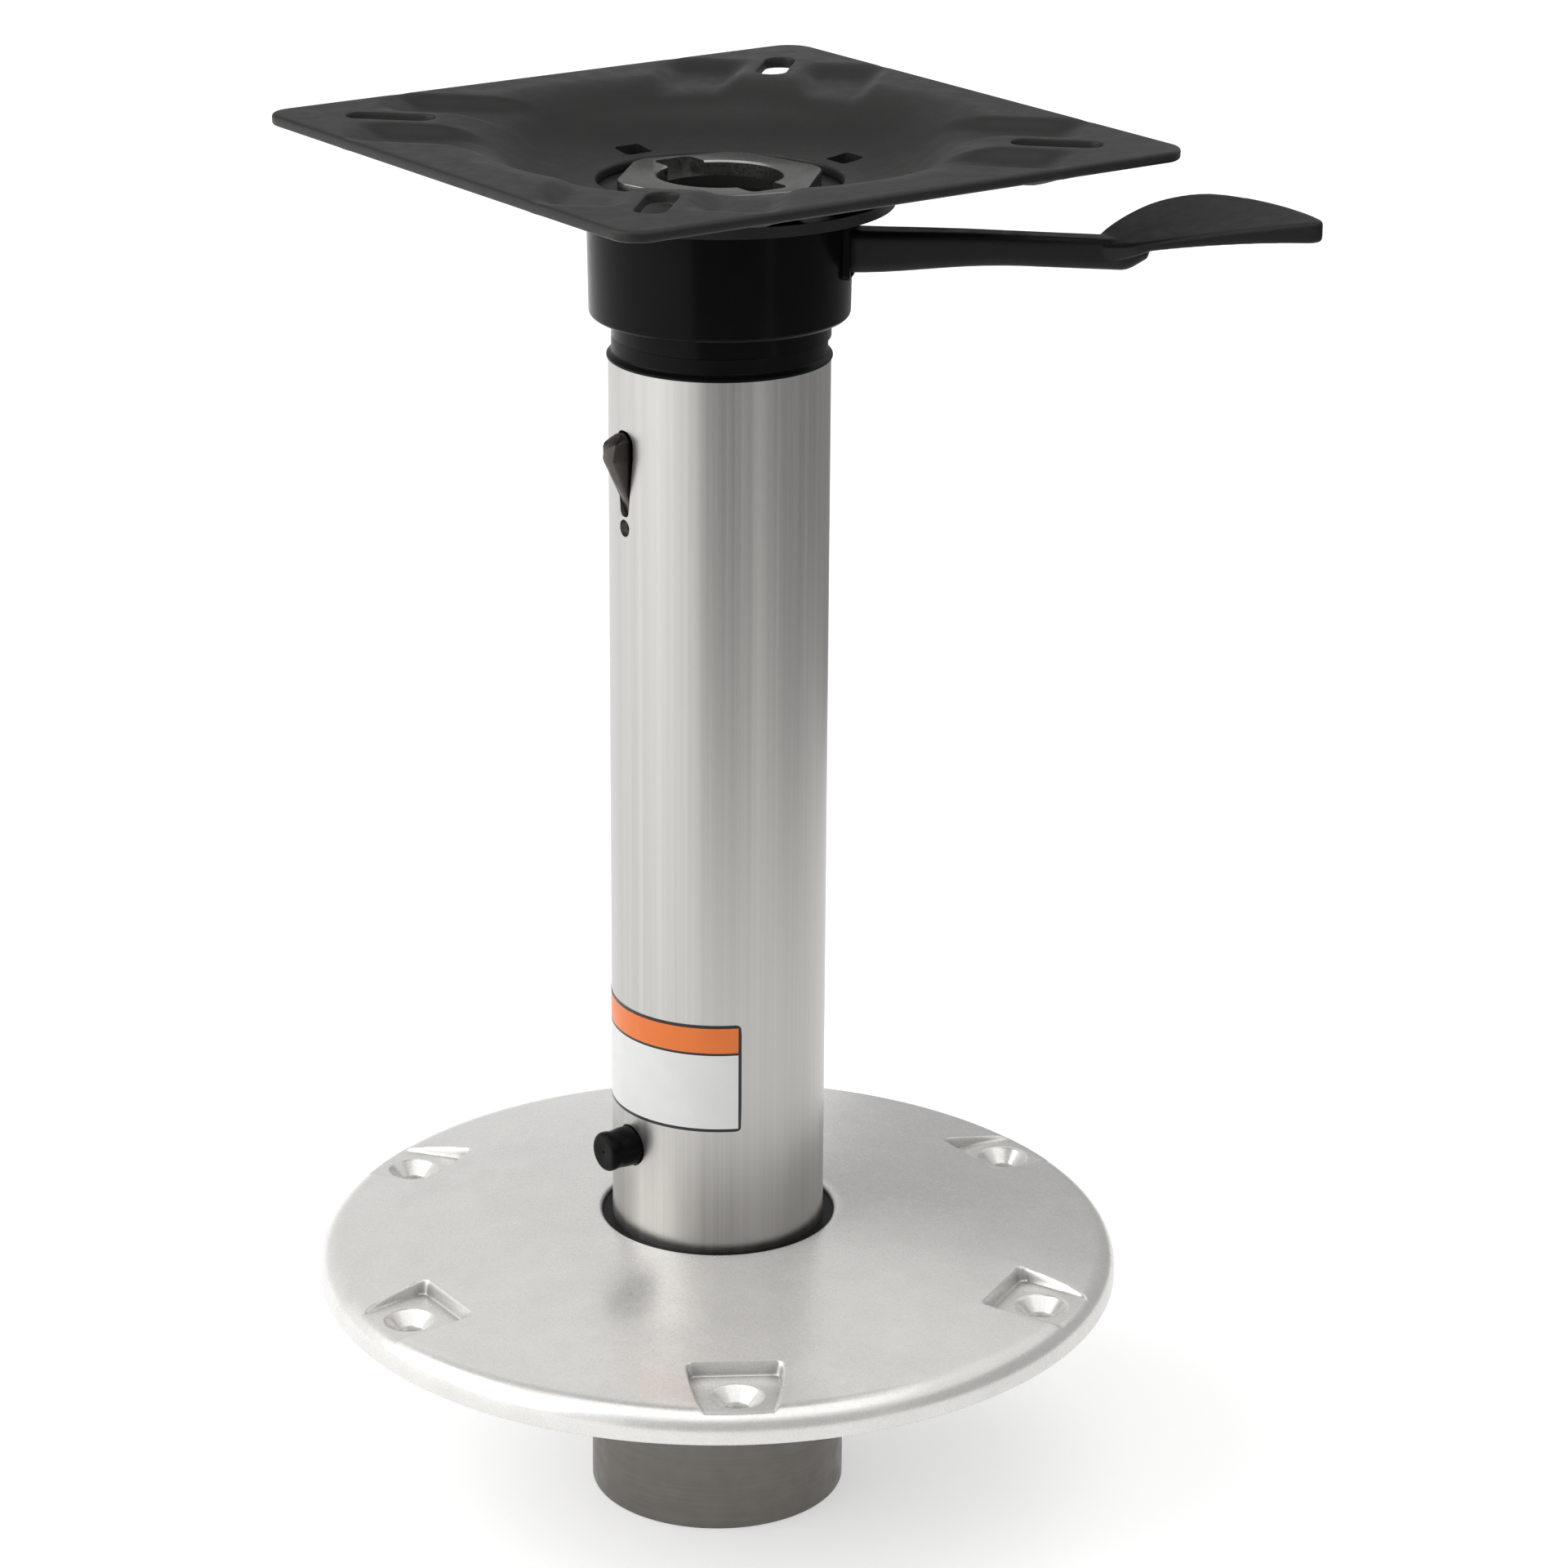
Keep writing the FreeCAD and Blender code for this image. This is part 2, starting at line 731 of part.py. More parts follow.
def make_latch():
    """The button, and the V spring that carries the locking tooth."""
    body = new_body("button_turned")
    seat = post_bore - dim.spring_gauge - 1
    length = post_radius + dim.button_reach - seat - dim.rest_gap
    plan = new_sketch(body, "YZ_Plane", "button_plan", seat + dim.rest_gap)
    circle(plan, 0, dim.button_height, dim.button_diameter / 2)
    pad(body, plan, length, "button")
    tip = seat + dim.rest_gap + length

    def outer_end(edge):
        return isinstance(edge.Curve, Part.Circle) and abs(edge.Curve.Center.x - tip.value) < 0.01

    rounded(body, dim.button_round, outer_end, "button_edge")
    turn(body, dim.latch_turn)
    finish(body, "lock_button")

    outer = seat
    inner = seat - dim.spring_gauge
    low = tooth_height - dim.spring_tail
    far = post_bore - 1
    back = spring_top - dim.bend_radius
    crest = outer - dim.bend_radius
    inner_bend = dim.bend_radius - dim.spring_gauge
    profile = free_sketch("spring_profile", (1, 0, 0), 90)
    outline(profile, [(outer, low), (outer, back), (crest, spring_top), (crest - dim.bend_radius, back),
                      (-far, low), (dim.spring_gauge - far, low), (crest - inner_bend, back),
                      (crest, spring_top - dim.spring_gauge), (inner, back), (inner, low)],
            {1: (dim.bend_radius, True), 2: (dim.bend_radius, True), 6: (inner_bend, False),
             7: (inner_bend, False)})
    strip = extruded("spring_strip", profile, (0, 1, 0), dim.spring_width)
    tooth = cylinder("spring_tooth", dim.tooth_diameter / 2, post_radius + dim.tooth_reach - inner,
                     inner, 0, tooth_height, "X")
    finish(turned_group("latch_spring_turned", [strip, tooth], dim.latch_turn), "latch_spring")


# Collar, catch and spindle bearing

def make_collar():
    """The plug in the post, its flange and neck, and the journal that the brake drum sits on."""
    body = new_body("collar_turned")
    lip_under = dim.post_top - dim.collar_flange_lip
    revolve(body, [(journal_bore, plug_bottom), (plug_radius, plug_bottom), (plug_radius, dim.post_top),
                   (post_radius, dim.post_top), (post_radius, lip_under),
                   (collar_flange_radius, lip_under), (collar_flange_radius, flange_top),
                   (collar_neck_radius, flange_top),
                   (collar_neck_radius, neck_top), (collar_journal_radius, neck_top),
                   (collar_journal_radius, journal_top), (journal_bore, journal_top)], "collar")
    rounded(body, dim.collar_cove, ring_edge(collar_neck_radius, flange_top), "collar_cove_round")
    foot_room = catch_pivot_height - 6
    room = box("catch_room", plug_radius, dim.slot_width + 0.6, slot_top - foot_room,
               catch_seat_radius, foot_room)
    rivet_bore = cylinder("rivet_bore", dim.rivet_shank / 2, plug_radius, journal_bore, 0,
                          catch_pivot_height, "X")
    cuts = turned_group("collar_cuts", [room, rivet_bore], dim.catch_turn)
    finish(cut("collar_cut", body, [cuts]), "top_bushing")


def make_catch():
    """The bent spring-steel tab that holds the collar in the post, and its rivet."""
    leaf_back = catch_seat_radius + 1.5
    leaf_front = leaf_back + dim.catch_gauge
    face = post_radius + dim.catch_reach
    lip = post_bore + 0.4
    profile = free_sketch("catch_profile", (1, 0, 0), 90)
    foot = catch_pivot_height - 3.2
    knee = catch_pivot_height + 2.6
    brow = catch_top - dim.catch_gauge
    outline(profile, [(leaf_back, foot), (leaf_front, foot), (leaf_front, knee), (face, brow),
                      (face, catch_top), (lip, catch_top), (lip, brow),
                      (face - dim.catch_gauge * 1.6, brow), (leaf_back, knee)])
    side_view = extruded("catch_side_view", profile, (0, 1, 0), dim.catch_width)
    front = free_sketch("catch_front", (1, 1, 1), 120)
    half = dim.catch_width / 2
    narrow = dim.catch_foot_width / 2 - dim.side_gap
    outline(front, [(-half, catch_top + 1), (-half, catch_top - 4), (-narrow, knee + 3),
                    (-half, knee), (-half, foot - 1), (half, foot - 1), (half, knee),
                    (narrow, knee + 3), (half, catch_top - 4), (half, catch_top + 1)])
    front_view = extruded("catch_front_view", front, (1, 0, 0), face + 5, both_sides=False)
    leaf = common("catch_leaf", [side_view, front_view])
    hole = cylinder("catch_hole", dim.rivet_shank / 2 + dim.side_gap, post_radius, catch_seat_radius, 0,
                    catch_pivot_height, "X")
    finish(turned_group("catch_turned", [cut("catch_cut", leaf, [hole])], dim.catch_turn), "mount_catch")
    shank = cylinder("rivet_shank_bar", dim.rivet_shank / 2, leaf_front + 1.4 - journal_bore - dim.rest_gap,
                     journal_bore + dim.rest_gap, 0, catch_pivot_height, "X")
    head = cylinder("rivet_head_disc", dim.rivet_head / 2, as_size(1.2), leaf_front + 0.7, 0,
                    catch_pivot_height, "X")
    finish(turned_group("rivet_turned", [shank, head], dim.catch_turn), "catch_rivet")


def make_spindle():
    """The tube that the seat turns on, with the washer and the snap ring that hold it down."""
    body = new_body("spindle_turned")
    washer_top = plug_bottom - dim.rest_gap
    ring_top = washer_top - dim.washer_thickness - dim.rest_gap
    groove_low = ring_top - dim.ring_thickness - dim.running_gap
    groove_radius = spindle_radius - dim.ring_seat
    revolve(body, [(spindle_bore, spindle_bottom), (spindle_radius, spindle_bottom),
                   (spindle_radius, groove_low), (groove_radius, groove_low),
                   (groove_radius, ring_top + dim.running_gap),
                   (spindle_radius, ring_top + dim.running_gap), (spindle_radius, carrier_under),
                   (spindle_bore, carrier_under)], "spindle_wall_profile")
    finish(body, "spindle")
    finish(tube("washer_turned", washer_radius, journal_bore, washer_top - dim.washer_thickness,
                washer_top), "spindle_washer")
    ring = tube("ring_turned", groove_radius + dim.running_gap + dim.ring_width,
                groove_radius + dim.running_gap, ring_top - dim.ring_thickness, ring_top)
    gap = box("ring_gap", spindle_radius * 2, as_size(6), dim.ring_thickness * 3, 0,
              ring_top - dim.ring_thickness * 2)
    finish(cut("ring_cut", ring, [gap]), "snap_ring")


# Seat plate, hub and carrier

def bowl_profile(offset, top, centre):
    """The S-shaped section of the bowl, offset along its normal, from the centre to the brim."""
    reach = bowl_brim_radius - bowl_floor_radius
    bend = (reach * reach + dim.bowl_depth * dim.bowl_depth) / (4 * dim.bowl_depth)
    slope_sin = reach / 2 / bend
    slope_cos = 1 - dim.bowl_depth / 2 / bend
    floor_bend = bend + offset
    brim_bend = bend - offset
    middle_x = bowl_floor_radius + floor_bend * slope_sin
    middle_z = bowl_floor + bend - floor_bend * slope_cos
    corners = [(centre, bowl_floor - offset), (bowl_floor_radius, bowl_floor - offset),
               (middle_x, middle_z), (bowl_brim_radius, plate_top - offset),
               (bowl_brim_radius, top), (centre, top)]
    return corners, {1: (floor_bend, True), 2: (brim_bend, False)}


def scoop_form(name, offset):
    """The form of one pressed hollow at the middle: a long lens below a level axis."""
    body = new_body(name)
    height = plate_top + dim.scoop_radius - dim.scoop_depth
    low = plate_top - dim.scoop_depth - offset
    half = (scoop_outer - scoop_inner) / 2
    middle = (scoop_outer + scoop_inner) / 2
    bend = (half * half + dim.scoop_depth * dim.scoop_depth) / (2 * dim.scoop_depth)
    reach = half * 1.3
    rise = bend - root_of(bend * bend - reach * reach)
    sketch = new_sketch(body, "XZ_Plane", name + "_profile")
    outline(sketch, [(middle - reach, low + rise), (middle + reach, low + rise), (middle + reach, height),
                     (middle - reach, height)], {0: (bend, True)})
    axis = sketch.addGeometry(Part.LineSegment(FreeCAD.Vector(0, height.value, 0),
                                               FreeCAD.Vector(50, height.value, 0)), True)
    pin_point(sketch, axis, 1, 0, height, "start")
    pin_point(sketch, axis, 2, 50, height, "end")
    feature = body.newObject("PartDesign::Revolution", name + "_turned")
    feature.Profile = sketch
    feature.ReferenceAxis = (sketch, ["Axis0"])
    feature.Angle = 360
    doc.recompute()
    return body


def scoops(name, form):
    """The eight places of a hollow, a pair beside each corner of the plate."""
    copies = []
    for corner in range(4):
        angle = as_size(90 * corner)
        for side in (-1, 1):
            copy = doc.addObject("Part::Compound", f"{name}_{corner}_{'near' if side < 0 else 'far'}")
            copy.Links = [form]
            shift = side * dim.scoop_offset
            place(copy, -(shift * sin_of(angle)), shift * cos_of(angle))
            copies.append(turn(copy, angle))
    doc.recompute()
    return copies


def make_seat_plate():
    """Pressed sheet: a square rim, a round bowl, a pair of hollows beside each corner, slots."""
    body = new_body("plate_blank")
    plan = new_sketch(body, "XY_Plane", "blank_plan", plate_under)
    tip = dim.plate_side / root_of(as_size(2))
    outline(plan, [(-tip, 0), (0, -tip), (tip, 0), (0, tip)])
    pad(body, plan, dim.plate_gauge, "blank")

    def corner_edge(edge):
        ends = [vertex.Point for vertex in edge.Vertexes]
        return len(ends) == 2 and abs(ends[0].z - ends[1].z) > 1

    rounded(body, dim.plate_corner, corner_edge, "blank_corners")
    corners, arcs = bowl_profile(dim.plate_gauge, plate_top, as_size(0))
    revolve(body, corners, "bowl_under", arcs)
    sheet_zone = cylinder("sheet_zone", dim.plate_side, dim.bowl_depth, 0, 0,
                          plate_top - dim.bowl_depth)
    under = joined("under_scoops", scoops("under", scoop_form("under_form", dim.plate_gauge)))
    pressed = joined("pressed", [body, common("under_sheet", [under, sheet_zone])])

    cutter = new_body("bowl_cutter")
    corners, arcs = bowl_profile(as_size(0), plate_top + 1, as_size(0))
    corners[3] = (bowl_brim_radius, plate_top)
    revolve(cutter, corners, "bowl_inside", arcs)
    cuts = scoops("over", scoop_form("over_form", as_size(0))) + [cutter]
    cuts.append(cylinder("bowl_hole", bowl_opening_radius, dim.bowl_depth + dim.plate_gauge * 2, 0, 0,
                         carrier_top - dim.plate_gauge))
    slot_reach = slot_spacing / root_of(as_size(2))
    straight = dim.seat_slot_length - dim.seat_slot_width
    for corner in range(4):
        name = f"seat_slot_{corner}"
        middle = box(name + "_middle", straight, dim.seat_slot_width, dim.plate_gauge * 3,
                     slot_reach - straight / 2, plate_under - dim.plate_gauge)
        ends = [cylinder(f"{name}_end_{side}", dim.seat_slot_width / 2, dim.plate_gauge * 3,
                         slot_reach + straight / 2 * side, 0, plate_under - dim.plate_gauge)
                for side in (-1, 1)]
        cuts.append(turn(joined(name, [middle] + ends), as_size(corner * 90)))
        window = box(f"window_{corner}", dim.window_length, dim.window_width,
                     dim.bowl_depth + dim.plate_gauge, window_inner, carrier_top - dim.plate_gauge)
        turned = doc.addObject("Part::Compound", f"window_place_{corner}")
        turned.Links = [window]
        cuts.append(turn(turned, as_size(45 + corner * 90)))
    finish(cut("seat_plate_cut", pressed, cuts), "seat_plate")


def make_hub():
    """The bright six-sided hub plate and the round carrier that the seat plate is welded to."""
    hub = new_body("hub_pad")
    plan = new_sketch(hub, "XY_Plane", "hub_plan", carrier_top)
    corners = []
    for number in range(6):
        angle = as_size(30 + 60 * number)
        corners.append((hub_corner_radius * cos_of(angle), hub_corner_radius * sin_of(angle)))
    outline(plan, corners)
    circle(plan, 0, 0, spindle_bore)
    pad(hub, plan, dim.hub_rise, "hub")

    def outer_corner(edge):
        ends = [vertex.Point for vertex in edge.Vertexes]
        return len(ends) == 2 and abs(ends[0].z - ends[1].z) > 1 and ends[0].Length > 0 and (
            math.hypot(ends[0].x, ends[0].y) > hub_corner_radius.value - 0.1)

    rounded(hub, as_size(3.0), outer_corner, "hub_corners")
    finish(hub, "hub_plate")
    finish(tube("carrier_turned", carrier_radius, spindle_bore, carrier_under, carrier_top),
           "carrier_plate")


# Head housing

def make_housing():
    """The moulded skirt over the brake, with the gate that the lever comes out of."""
    body = new_body("housing_turned")
    edge_radius = housing_radius - dim.housing_draft
    mouth_bend = housing_edge_height - housing_mouth_height
    inner_edge = edge_radius - dim.housing_wall
    roof = carrier_under - dim.housing_wall
    mouth_inside = housing_mouth_height + dim.housing_wall
    revolve(body, [(mouth_radius, housing_mouth_height), (edge_radius, housing_edge_height),
                   (housing_radius, carrier_under), (roof_radius, carrier_under),
                   (roof_radius, roof), (housing_bore, roof), (inner_edge, housing_edge_height),
                   (mouth_radius, mouth_inside)], "housing_wall_profile", {0: (mouth_bend * 1.3, True)})
    frame_start = housing_bore + 0.5
    frame_reach = housing_radius + dim.gate_reach - frame_start
    frame = box("gate_frame_block", frame_reach, dim.gate_width + dim.gate_frame * 2,
                dim.gate_height + dim.gate_frame, frame_start, gate_bottom - dim.gate_frame)
    shell = joined("housing_shell", [body, frame])
    gate = box("gate_way", frame_reach + 6, dim.gate_width, dim.gate_height - dim.gate_frame,
               housing_bore - 4, gate_bottom)
    bracket_room = box("bracket_room", dim.bracket_width + 3,
                       dim.bracket_gap + dim.bracket_gauge * 2 + 1, dim.housing_wall * 2,
                       pivot_reach - dim.bracket_width / 2 - 1, roof - dim.housing_wall / 2)
    screws = [bracket_room]
    for number in range(3):
        angle = dim.screw_turn + number * 120
        screws.append(cylinder(f"screw_way_{number}", dim.screw_diameter / 2 + dim.side_gap,
                               dim.housing_wall * 3, screw_radius * cos_of(angle),
                               screw_radius * sin_of(angle), roof - dim.housing_wall))
    finish(cut("housing_cut", shell, [gate] + screws), "swivel_housing")
    fasteners = []
    for number in range(3):
        angle = dim.screw_turn + number * 120
        x = screw_radius * cos_of(angle)
        y = screw_radius * sin_of(angle)
        head = cylinder(f"screw_head_{number}", dim.screw_head / 2, dim.screw_diameter / 2, x, y,
                        roof - dim.screw_diameter / 2)
        shank = cylinder(f"screw_shank_{number}", dim.screw_diameter / 2, dim.housing_wall, x, y, roof)
        fasteners.append(joined(f"screw_{number}", [head, shank]))
    screws = doc.addObject("Part::Compound", "housing_screw_set")
    screws.Links = fasteners
    doc.recompute()
    finish(screws, "housing_screws")


# Brake

def arc_block(name, inner, outer, low, high, half_angle):
    """A slice of a ring about Z, centred on +X."""
    body = new_body(name)
    plan = new_sketch(body, "XY_Plane", name + "_plan", low)
    cosine = cos_of(half_angle)
    sine = sin_of(half_angle)
    outline(plan, [(inner * cosine, -(inner * sine)), (outer * cosine, -(outer * sine)),
                   (outer * cosine, outer * sine), (inner * cosine, inner * sine)],
            {1: (outer, True), 3: (inner, False)})
    pad(body, plan, high - low, name + "_pad")
    return body


def make_brake():
    """The drum on the collar, the lining and the shoe that the lever draws away from it."""
    finish(tube("drum_turned", drum_radius, collar_journal_radius, neck_top,
                neck_top + dim.drum_height), "brake_drum")
    lining_low = shoe_bottom + 1
    finish(arc_block("lining_slice", lining_inner, lining_outer, lining_low, lining_low + dim.lining_height,
                     dim.shoe_half_angle), "brake_lining")
    web = arc_block("shoe_web", lining_outer, shoe_outer, shoe_bottom, shoe_top, dim.shoe_half_angle)
    flange = arc_block("shoe_flange_slice", lining_outer, shoe_flange_radius,
                       shoe_top - dim.shoe_flange, shoe_top, dim.shoe_half_angle)
    lug_low = shoe_top - dim.shoe_flange / 2
    lug_height = dim.fork_height + dim.shoe_flange / 2
    finger_low = pivot_reach + dim.finger_shift
    finger_high = finger_low + dim.finger_thickness
    fork_in = box("fork_in", dim.fork_lug, dim.fork_width, lug_height,
                  finger_low - dim.fork_gap - dim.fork_lug, lug_low)
    fork_out = box("fork_out", dim.fork_lug, dim.fork_width, lug_height, finger_high + dim.fork_gap,
                   lug_low)
    finish(joined("shoe_joined", [web, flange, fork_in, fork_out]), "brake_shoe")


# Lever

def make_lever():
    """The bracket, pin, arm and return spring inside, and the moulded handle."""
    ear_top = carrier_under
    ear_low = pivot_height - dim.bracket_drop
    start = pivot_reach - dim.bracket_width / 2
    ears = []
    for side, label in ((-1, "near"), (1, "far")):
        low = dim.bracket_gap / 2 if side > 0 else -(dim.bracket_gap / 2) - dim.bracket_gauge
        ears.append(box(f"ear_{label}", dim.bracket_width, dim.bracket_gauge, ear_top - ear_low, start,
                        ear_low, low))
    bridge = box("ear_bridge", dim.bracket_width, dim.bracket_gap + dim.bracket_gauge * 2,
                 dim.bracket_gauge, start, ear_top - dim.bracket_gauge)
    pin_length = dim.bracket_gap + dim.bracket_gauge * 2 + 1
    pin_way = cylinder("pin_way", dim.pin_diameter / 2 + dim.running_gap / 2, pin_length * 2,
                       pivot_reach, -pin_length, pivot_height, "Y")
    finish(cut("bracket_cut", joined("bracket_joined", ears + [bridge]), [pin_way]), "lever_bracket")
    pin = cylinder("pivot_pin_bar", dim.pin_diameter / 2, pin_length, pivot_reach, -(pin_length / 2),
                   pivot_height, "Y")
    finish(pin, "pivot_pin")

    eye = cylinder("arm_eye_disc", dim.arm_eye / 2, dim.arm_width, pivot_reach, -(dim.arm_width / 2),
                    pivot_height, "Y")
    bar = box("arm_bar", arm_length, dim.arm_width, dim.arm_height, pivot_reach, arm_low)
    finger_drop = pivot_height - shoe_top - dim.rest_gap * 2
    finger = box("arm_finger", dim.finger_thickness, dim.arm_width, finger_drop,
                 pivot_reach + dim.finger_shift, pivot_height - finger_drop)
    arm_way = cylinder("arm_way", dim.pin_diameter / 2 + dim.running_gap, pin_length * 2, pivot_reach,
                       -pin_length, pivot_height, "Y")
    finish(cut("arm_cut", joined("arm_joined", [eye, bar, finger]), [arm_way]), "lever_arm")

    make_return_spring()
    make_handle()


def make_return_spring():
    """A close-wound coil round the pivot pin, beside the arm, with a leg on the bracket."""
    body = new_body("coil_turned")
    bore = dim.pin_diameter / 2 + 0.5
    room = (dim.bracket_gap - dim.arm_width) / 2 - dim.rest_gap * 2
    outer = bore + dim.coil_wire
    low = dim.arm_width / 2 + dim.rest_gap
    sketch = new_sketch(body, "XY_Plane", "coil_profile")
    outline(sketch, [(bore, low), (outer, low), (outer, low + room), (bore, low + room)])
    feature = body.newObject("PartDesign::Revolution", "coil")
    feature.Profile = sketch
    feature.ReferenceAxis = (sketch, ["V_Axis"])
    feature.Angle = 360
    doc.recompute()
    place(body, pivot_reach, 0, pivot_height)
    leg = box("coil_leg", dim.coil_wire, dim.coil_wire, ear_leg_length(), pivot_reach - outer,
              pivot_height, low + dim.rest_gap)
    finish(joined("coil_joined", [body, leg]), "return_spring")


def ear_leg_length():
    """The spring's leg ends against the bracket's bridge."""
    return carrier_under - dim.bracket_gauge - pivot_height


def stem_section(body, name, reach, top, tall, wide):
    """A rounded rectangle across the lever."""
    sketch = new_sketch(body, "YZ_Plane", name, reach)
    half = wide / 2
    low = top - tall
    bend = dim.stem_round
    outline(sketch, [(bend - half, low), (half - bend, low), (half, low + bend), (half, top - bend),
                     (half - bend, top), (bend - half, top), (-half, top - bend), (-half, low + bend)],
            {1: (bend, True), 3: (bend, True), 5: (bend, True), 7: (bend, True)})
    return sketch


def make_handle():
    """A tapered stem, a step up, and a broad leaf-shaped paddle that rises to its tip."""
    stem = new_body("handle_stem")
    root = stem_section(stem, "stem_root", stem_start, stem_top - 0.6,
                        dim.stem_root_height, dim.stem_root_width)
    waist = stem_section(stem, "stem_waist", stem_middle, stem_top,
                         dim.stem_middle_height, dim.stem_end_width)
    head = stem_section(stem, "stem_tip", stem_end, stem_top,
                        dim.stem_end_height, dim.stem_end_width)
    sections = [root, waist, head]
    loft = stem.newObject("PartDesign::AdditiveLoft", "stem_loft")
    loft.Profile = sections[0]
    loft.Sections = sections[1:]
    doc.recompute()

    tip = stem_end + dim.paddle_length
    block_start = stem_end - 8
    block_low = stem_top - dim.stem_end_height + 0.4
    neck = stem_end + 7
    side = free_sketch("paddle_side", (1, 0, 0), 90)
    tip_top = stem_top + dim.paddle_rise
    side_corners = [
        (block_start, block_low),
        (stem_end, block_low),
        (neck, stem_top + 0.8 - dim.paddle_thin),
        (tip, tip_top - dim.paddle_thick),
        (tip, tip_top),
        (stem_end + 4, stem_top + 0.3),
        (block_start, stem_top - 1),
    ]
    outline(side, side_corners, {2: (dim.paddle_arch, False), 4: (dim.paddle_arch * 2, True)})
    side_view = extruded("paddle_side_view", side, (0, 1, 0), dim.paddle_far * 4)
    tilted = doc.addObject("Part::Compound", "paddle_tilted")
    tilted.Links = [side_view]
    lean = sin_of(dim.paddle_tilt)
    stand = 1 - cos_of(dim.paddle_tilt)
    place(tilted, 0, stem_top * lean - dim.paddle_near * stand,
          stem_top * stand + dim.paddle_near * lean)
    turn(tilted, dim.paddle_tilt, (1, 0, 0))

    plan = free_sketch("paddle_plan", (0, 0, 1), 0)
    corner = dim.paddle_tip_round
    near = -dim.paddle_near
    corners = [
        (block_start, 0.5 - dim.stem_end_width / 2),
        (stem_end + 3, near),
        (tip - corner, near),
        (tip, near + corner),
        (stem_end + 22, dim.paddle_far),
        (stem_end + 3.5, dim.paddle_far - 0.5),
        (block_start, dim.stem_end_width / 2 - 0.5),
    ]
    arcs = {
        2: (corner, True),
        3: (dim.paddle_outer_bend, True),
        4: (dim.paddle_crown_bend, True),
        5: (dim.paddle_root_bend, True),
    }
    outline(plan, corners, arcs)
    plan_view = extruded("paddle_plan_view", plan, (0, 0, 1), plate_top * 2)
    paddle = common("paddle", [tilted, plan_view])
    whole = joined("handle_whole", [stem, paddle])
    tang = box("tang_way", arm_length + dim.rest_gap, dim.arm_width, dim.arm_height, pivot_reach,
                arm_low)
    finish(cut("handle_cut", whole, [tang]), "lever_handle")


make_base_flange()
make_socket()
make_post()
make_latch()
make_collar()
make_catch()
make_spindle()
make_seat_plate()
make_hub()
make_housing()
make_brake()
make_lever()
doc.recompute()

# Nothing is written unless every object and every sub-part is sound
for item in doc.Objects:
    if "Invalid" in item.State or "Error" in item.State:
        raise RuntimeError(f"{item.Name} failed: {item.State}")
for name, item in finished.items():
    shape = item.Shape
    if shape.isNull() or not shape.isValid() or not shape.Solids:
        raise RuntimeError(f"{name} has no valid solid")

os.makedirs("parts", exist_ok=True)
for name, item in finished.items():
    item.Shape.exportStep(f"parts/{name}.step")
    print(f"{name}: {len(item.Shape.Solids)} solid, {item.Shape.Volume:.0f} mm3")
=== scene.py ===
"""A boat seat pedestal dressed for a studio picture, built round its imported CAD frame."""

import json
import math

import bmesh
import bpy
import numpy as np
from bpy.props import FloatProperty, FloatVectorProperty, IntProperty, PointerProperty
from bpy.types import Operator, Panel, PropertyGroup
from mathutils import Matrix, Vector


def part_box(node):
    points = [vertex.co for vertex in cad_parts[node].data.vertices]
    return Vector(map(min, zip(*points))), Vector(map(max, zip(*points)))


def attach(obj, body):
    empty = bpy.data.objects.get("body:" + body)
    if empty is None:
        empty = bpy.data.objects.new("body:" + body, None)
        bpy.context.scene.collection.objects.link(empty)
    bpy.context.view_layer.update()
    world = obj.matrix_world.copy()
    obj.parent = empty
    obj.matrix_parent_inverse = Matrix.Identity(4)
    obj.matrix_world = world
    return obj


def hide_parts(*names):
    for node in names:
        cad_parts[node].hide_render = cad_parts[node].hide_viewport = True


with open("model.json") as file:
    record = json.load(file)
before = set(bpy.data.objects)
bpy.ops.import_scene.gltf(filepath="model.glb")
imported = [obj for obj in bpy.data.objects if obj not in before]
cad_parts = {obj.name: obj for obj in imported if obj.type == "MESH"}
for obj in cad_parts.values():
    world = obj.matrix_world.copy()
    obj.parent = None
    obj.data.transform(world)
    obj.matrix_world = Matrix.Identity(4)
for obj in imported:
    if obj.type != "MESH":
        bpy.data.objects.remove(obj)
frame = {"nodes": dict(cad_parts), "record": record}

bl_info = {
    "name": "Boat Seat Pedestal",
    "version": (1, 0, 0),
    "blender": (4, 5, 0),
    "location": "View3D > Sidebar > Pedestal",
    "description": "Builds a boat seat pedestal round its CAD frame, with finishes and a stage",
    "category": "Object",
}

MM = 0.001
DECK_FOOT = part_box("base_socket")[0].z
POST_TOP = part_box("post_tube")[1].z
PLATE_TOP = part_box("seat_plate")[1].z
PLATE_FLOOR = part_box("seat_plate")[0].z
HOUSING_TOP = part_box("swivel_housing")[1].z
SOCKET_BORE, SOCKET_STEP, SOCKET_RADIUS = 33.1 * MM, 35.7 * MM, 36.5 * MM
SOCKET_TOP = 14 * MM
LATCH_TURN, CATCH_TURN = math.radians(225), math.radians(222)
RIVET_HEIGHT = 225.4 * MM
# Turns across, up and out into Y, Z and X
OUT_OF_POST = Matrix(((0, 0, 1, 0), (1, 0, 0, 0), (0, 1, 0, 0), (0, 0, 0, 1)))
# The colour sockets of a mix node
MIX_FIRST, MIX_SECOND, MIX_RESULT = 6, 7, 2


# Settings

def length(description, default, high=1.0):
    """A length setting in metres."""
    return FloatProperty(description=description, default=default, min=0.0, max=high,
                         unit="LENGTH", precision=4)


def bearing(description, degrees):
    """An angle setting with its default in degrees."""
    return FloatProperty(description=description, default=math.radians(degrees), subtype="ANGLE")


def power(description, watts):
    """A lamp's power setting."""
    return FloatProperty(description=description, default=watts, min=0, unit="POWER")


